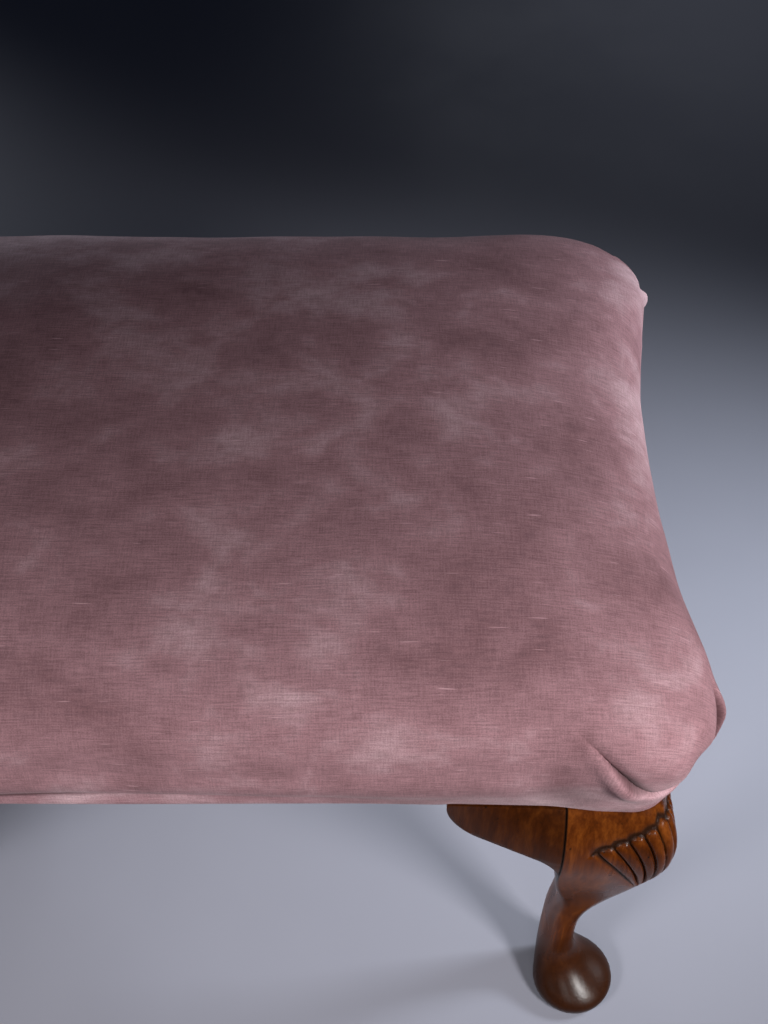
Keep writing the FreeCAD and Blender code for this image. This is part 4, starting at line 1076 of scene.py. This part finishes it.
def make_strap(name, axis, crossings, first_over):
    """A jute strap along an axis."""
    low, high = box_of(name)
    path = strap_path(high[axis], crossings, first_over)
    tangent = unit(np.gradient(path, axis=0))
    normal = np.column_stack([-tangent[:, 1], tangent[:, 0]]) * (STRAP_THICKNESS / 2 - 0.03)
    middle = (low + high)[1 - axis] / 2
    half = (high - low)[1 - axis] / 2
    across = np.linspace(-half, half, 5)
    loops = []
    for up_side in (1, -1):
        edge = path + normal * up_side
        for offset in across[::up_side]:
            loops.append(np.insert(edge, 1 - axis, middle + offset, axis=1))
    faces = tube_faces(len(path), len(loops))
    if axis == 0:
        faces = turned_over(faces)
    points = np.stack(loops, 1)
    strap = make_piece(f"{name}_strap", points, faces, WEBBING, [name], crease=SHEET_CREASE)


def make_straps():
    """Interlaced straps along the seat and across it."""
    names = {}
    for way in ("long", "cross"):
        names[way] = sorted(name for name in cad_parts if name.startswith(f"web_{way}_"))
    for way, other, axis in (("long", "cross", 0), ("cross", "long", 1)):
        crossings = [sum(box_of(name))[axis] / 2 for name in names[other]]
        for number, name in enumerate(names[way]):
            make_strap(name, axis, crossings, (number % 2 == 0) == (way == "long"))


def slab(top, thickness, kept):
    """Points and faces of a sheet from the grid of its top, over the cells that are kept."""
    rows, columns = top.shape[:2]
    count = rows * columns
    faces, edges = [], {}
    for row, column in np.argwhere(kept).tolist():
        first = row * columns + column
        face = [first, first + 1, first + columns + 1, first + columns]
        faces.append(face)
        faces.append([number + count for number in face[::-1]])
        edges.update(dict.fromkeys(zip(face, face[1:] + face[:1])))
    for a, b in edges:
        if (b, a) not in edges:
            faces.append([b, a, a + count, b + count])
    upper = top.reshape(-1, 3)
    points = np.concatenate([upper, upper - [0, 0, thickness]])
    used = np.unique(np.concatenate(faces))
    new = {old: number for number, old in enumerate(used.tolist())}
    return points[used], [[new[number] for number in face] for face in faces]


def make_hessian():
    """Coarse cloth over the straps, a little loose between them and frayed at its edge."""
    low, high = box_of("hessian")
    columns, rows = 90, 58
    x, y = np.meshgrid(np.linspace(low[0], high[0], columns), np.linspace(low[1], high[1], rows))
    plan = np.stack([x, y], -1)
    fray = 0.8 * uneven(plan, 9, 21)
    edge = np.minimum(high[0] - np.abs(x), high[1] - np.abs(y)) < 0.5
    shrink = np.where(edge, 1 - (1.0 + fray) / high[0], 1)
    sag = 0.15 * (1 + uneven(plan, 60, 22))
    top = np.dstack([x * shrink, y * shrink, high[2] - np.clip(sag, 0, 0.35)])
    points, faces = slab(top, high[2] - low[2], np.ones((rows - 1, columns - 1), bool))
    piece = make_piece("hessian_cloth", points, faces, HESSIAN, ["hessian"], crease=SHEET_CREASE)


def pad_loop(numbers, height):
    """A pad's loop at a height, from its outline numbers."""
    return at_height(level_loop(numbers, PAD_SHARES), height)


def pad_rows(base, height, inset, bottom_reaches=()):
    """Rows of a crowned pad, across its bottom and up to its top."""
    rows = [pad_loop(crown_level(reach, inset), base) for reach in bottom_reaches]
    rows.append(pad_loop(skirt_level(1, inset), base))
    for reach, rise, _ in zip(*crown_steps(PAD_ROWS, height, inset, start=PAD_START)):
        rows.append(pad_loop(crown_level(reach, inset), base + height * rise))
    return rows


def make_stuffing():
    """Curled hair pad on the hessian."""
    low, high = box_of("stuffing")
    points = np.array(pad_rows(low[2], high[2] - low[2], STUFFING_INSET, STUFFING_BOTTOM))
    normals = grid_normals(points)
    lumps = np.abs(0.8 * uneven(points, 45, 31) + 0.6 * uneven(points, 18, 32)) + 0.2
    lumps[: len(STUFFING_BOTTOM) + 1] = 0
    points -= normals * lumps[..., None]
    rows, columns = points.shape[:2]
    faces = grid_faces(rows, columns) + cap_faces((rows - 1) * columns, PAD_QUARTER)
    faces += turned_over(cap_faces(0, PAD_QUARTER))
    pad = make_piece("stuffing_pad", points, faces, HAIR, ["stuffing"], crease=SHEET_CREASE)


def wadding_outside(bottom):
    """Loops of the wadding's outside, under the cover and its pleats."""
    height = CROWN_HEIGHT - WADDING_INSET
    way = loop_values(np.concatenate([-PAD_RUN[::-1] * LONG_RUN, PAD_RUN[1:] * END_RUN]))
    rows, ups = [], []
    for share in np.linspace((bottom - RAIL_BOTTOM) / SIDE_UP, 1, 22):
        rows.append(pad_loop(skirt_level(share, WADDING_INSET), RAIL_BOTTOM + SIDE_UP * share))
        ups.append(SIDE_UP * share)
    for reach, rise, up in zip(*crown_steps(46, height, WADDING_INSET, start=PAD_START)):
        rows.append(pad_loop(crown_level(reach, WADDING_INSET), EDGE_Z + height * rise))
        ups.append(SIDE_UP + up)
    points = np.array(rows)
    ways, up = np.meshgrid(way, ups)
    lift = np.zeros(up.shape)
    for beside, above in ((0, 0), (5, 0), (-5, 0), (0, 5), (0, -5)):
        lift = np.minimum(lift, cover_relief(points, ways + beside, np.maximum(up + above, 0))[0])
    lift = lift - 2.0 * smooth_step(*SWELL_LOW, up) - 0.8 - 0.4 * np.abs(uneven(points, 30, 41))
    return points + grid_normals(points) * np.maximum(lift, -WADDING_MOST_IN)[..., None]


def make_wadding():
    """Cotton wadding over the stuffing and down the rails."""
    low, high = box_of("wadding")
    base = box_of("stuffing")[0][2]
    outside = wadding_outside(low[2])
    inside = pad_rows(base - WADDING_CLEARANCE, high[2] - base - WADDING_UNDER_TOP, WADDING_INSIDE)[::-1]
    corner = np.array([HALF_LENGTH, HALF_DEPTH]) + WADDING_CLEARANCE
    box = np.clip(inside[-1][:, :2], -corner, corner)
    for height in (base - WADDING_CLEARANCE, low[2]):
        inside.append(at_height(box, height))
    inside = np.array(inside)
    columns = outside.shape[1]
    first_inside = outside.shape[0] * columns
    points = np.concatenate([outside, inside])
    faces = grid_faces(outside.shape[0], columns)
    faces += cap_faces(first_inside - columns, PAD_QUARTER)
    faces += [[n + first_inside for n in face] for face in grid_faces(inside.shape[0], columns)]
    faces += turned_over(cap_faces(first_inside, PAD_QUARTER))
    last = (points.shape[0] - 1) * columns
    for column in range(columns):
        after = (column + 1) % columns
        faces.append([last + column, last + after, after, column])
    layer = make_piece("wadding_layer", points, faces, WADDING, ["wadding"], crease=SHEET_CREASE)


def make_dust_cover():
    """Black lining under the seat, cut round the ears and legs."""
    clearance, cell, deepest = 3, 12, 2.5
    low, high = box_of("dust_cover")
    half = np.array([HALF_LENGTH, HALF_DEPTH])
    rail = half - RAIL_THICKNESS - clearance
    post = half - POST - clearance
    tip = post - EAR_LENGTH

    def lines(axis):
        stops = [limit[axis] for limit in (tip, post, rail, high)]
        stops = [-stop for stop in stops[::-1]] + stops
        pairs = zip(stops, stops[1:])
        parts = [np.linspace(a, b, max(2, int((b - a) / cell) + 2))[:-1] for a, b in pairs]
        return np.concatenate(parts + [[stops[-1]]])

    x, y = lines(0), lines(1)
    plan = np.stack(np.meshgrid(x, y), -1)
    sag = deepest * (1 - (plan / high[:2]) ** 2).prod(-1)
    sag = sag + 0.25 * uneven(plan, 80, 51) * (sag > 0.2)
    top = np.dstack([plan, high[2] - np.maximum(sag, 0)])
    middle = np.abs(plan[:-1, :-1] + plan[1:, 1:]) / 2
    tip_x, tip_y = np.moveaxis(middle < tip, -1, 0)
    post_x, post_y = np.moveaxis(middle < post, -1, 0)
    rail_x, rail_y = np.moveaxis(middle < rail, -1, 0)
    kept = tip_x | tip_y | (post_x & rail_y) | (rail_x & post_y)
    kept &= (rail_y | tip_x) & (rail_x | tip_y)
    points, faces = slab(top, high[2] - low[2], kept)
    piece = make_piece(
        "dust_cover_cloth", points, faces, DUST_CLOTH, ["dust_cover"], crease=SHEET_CREASE
    )


def dress_frame():
    """Finishes for the solids that stay as they are, and softened edges for the ears."""
    ears = ("ear_long_", "ear_end_")
    # The last prefix that fits counts
    finishes = (
        (ears, SHADED_EAR_WALNUT),
        (("rail_", "corner_block_"), BEECH),
        (("corner_block_screws", "ear_screws"), SCREW_STEEL),
        (("webbing_tacks", "cover_tacks", "dust_cover_tacks"), TACK_STEEL),
    )
    for name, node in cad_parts.items():
        for prefixes, material in finishes:
            if name.startswith(prefixes):
                node.data.materials.clear()
                node.data.materials.append(material)
        if name.startswith(ears):
            weld = node.modifiers.new("joined", "WELD")
            weld.merge_threshold = 0.00002
            edge = node.modifiers.new("softened", "BEVEL")
            edge.width = 0.0011
            edge.segments = 3
            edge.limit_method = "ANGLE"
            edge.angle_limit = math.radians(35)
            edge.harden_normals = True


# Studio, in metres

WARM = (1.0, 0.98, 0.97)
COOL = (0.88, 0.94, 1.0)
COLD = (0.85, 0.9, 1.0)
# Name, place, target, size, spread in degrees, power in watts and colour
LAMPS = (
    ("key_right", (1.15, -1.1, 1.3), (0.4, -0.28, 0.18), 0.34, 40, 2.5, WARM),
    ("key_left", (-1.0, -1.15, 1.3), (-0.19, -0.4, 0.1), 0.4, 40, 2.9, WARM),
    ("key_front", (0.25, -1.75, 1.35), (0.1, -0.45, 0.1), 0.5, 36, 0.3, WARM),
    ("side_right", (1.45, 0.12, 0.95), (0.56, 0.14, 0.12), 0.32, 44, 3.5, COOL),
    ("back_fill", (-1.3, 1.9, 0.16), (-0.05, 0.05, 0.26), 0.2, 42, 1.4, COLD),
    ("far_floor", (0.4, 2.8, 1.6), (0.75, 1.25, 0.0), 0.4, 38, 0.5, COLD),
)
FLOOR_REACH = 40.0
FLOOR_STEPS = 24
SKY = (0.5, 0.6, 0.9, 1)
SKY_STRENGTH = 0.045
CAMERA_PLACE = (0.164, -0.612, 1.082)
CAMERA_TILT = 40
CAMERA_LENS = 47.46
CAMERA_SENSOR = 36


def make_floor():
    """A plain floor that reaches the horizon."""
    run = np.linspace(-FLOOR_REACH, FLOOR_REACH, FLOOR_STEPS)
    x, y = np.meshgrid(run, run)
    grid = np.dstack([x, y, np.zeros_like(x)]) / METRES
    mesh = new_mesh("floor", grid, grid_faces(FLOOR_STEPS, FLOOR_STEPS, closed=False))
    mesh.materials.append(floor_material())
    add_object("floor", mesh)


def make_lights():
    """Narrow studio lamps and a dim sky."""
    for name, place, target, size, spread, power, color in LAMPS:
        lamp = bpy.data.lights.new(name, "AREA")
        lamp.size = size
        lamp.energy = power
        lamp.color = color
        lamp.spread = math.radians(spread)
        lamp_object = add_object(name, lamp)
        lamp_object.location = place
        aim = Vector(target) - Vector(place)
        lamp_object.rotation_euler = aim.to_track_quat("-Z", "Y").to_euler()

    world = bpy.data.worlds.new("studio")
    world.use_nodes = True
    background = world.node_tree.nodes["Background"]
    background.inputs["Color"].default_value = SKY
    background.inputs["Strength"].default_value = SKY_STRENGTH
    bpy.context.scene.world = world
    bpy.context.scene.view_settings.view_transform = "Standard"


def make_camera():
    """The photograph's view."""
    camera = bpy.data.cameras.new("photo_view")
    camera.sensor_width = CAMERA_SENSOR
    camera.lens = CAMERA_LENS
    camera_object = add_object("photo_view", camera)
    camera_object.location = CAMERA_PLACE
    camera_object.rotation_euler = (math.radians(CAMERA_TILT), 0, 0)
    bpy.context.scene.camera = camera_object


make_cover()
for side, side_sign in SIDES:
    for end, end_sign in ENDS:
        make_leg(side, side_sign, end, end_sign)
make_straps()
make_hessian()
make_stuffing()
make_wadding()
make_dust_cover()
dress_frame()
make_floor()
make_lights()
make_camera()
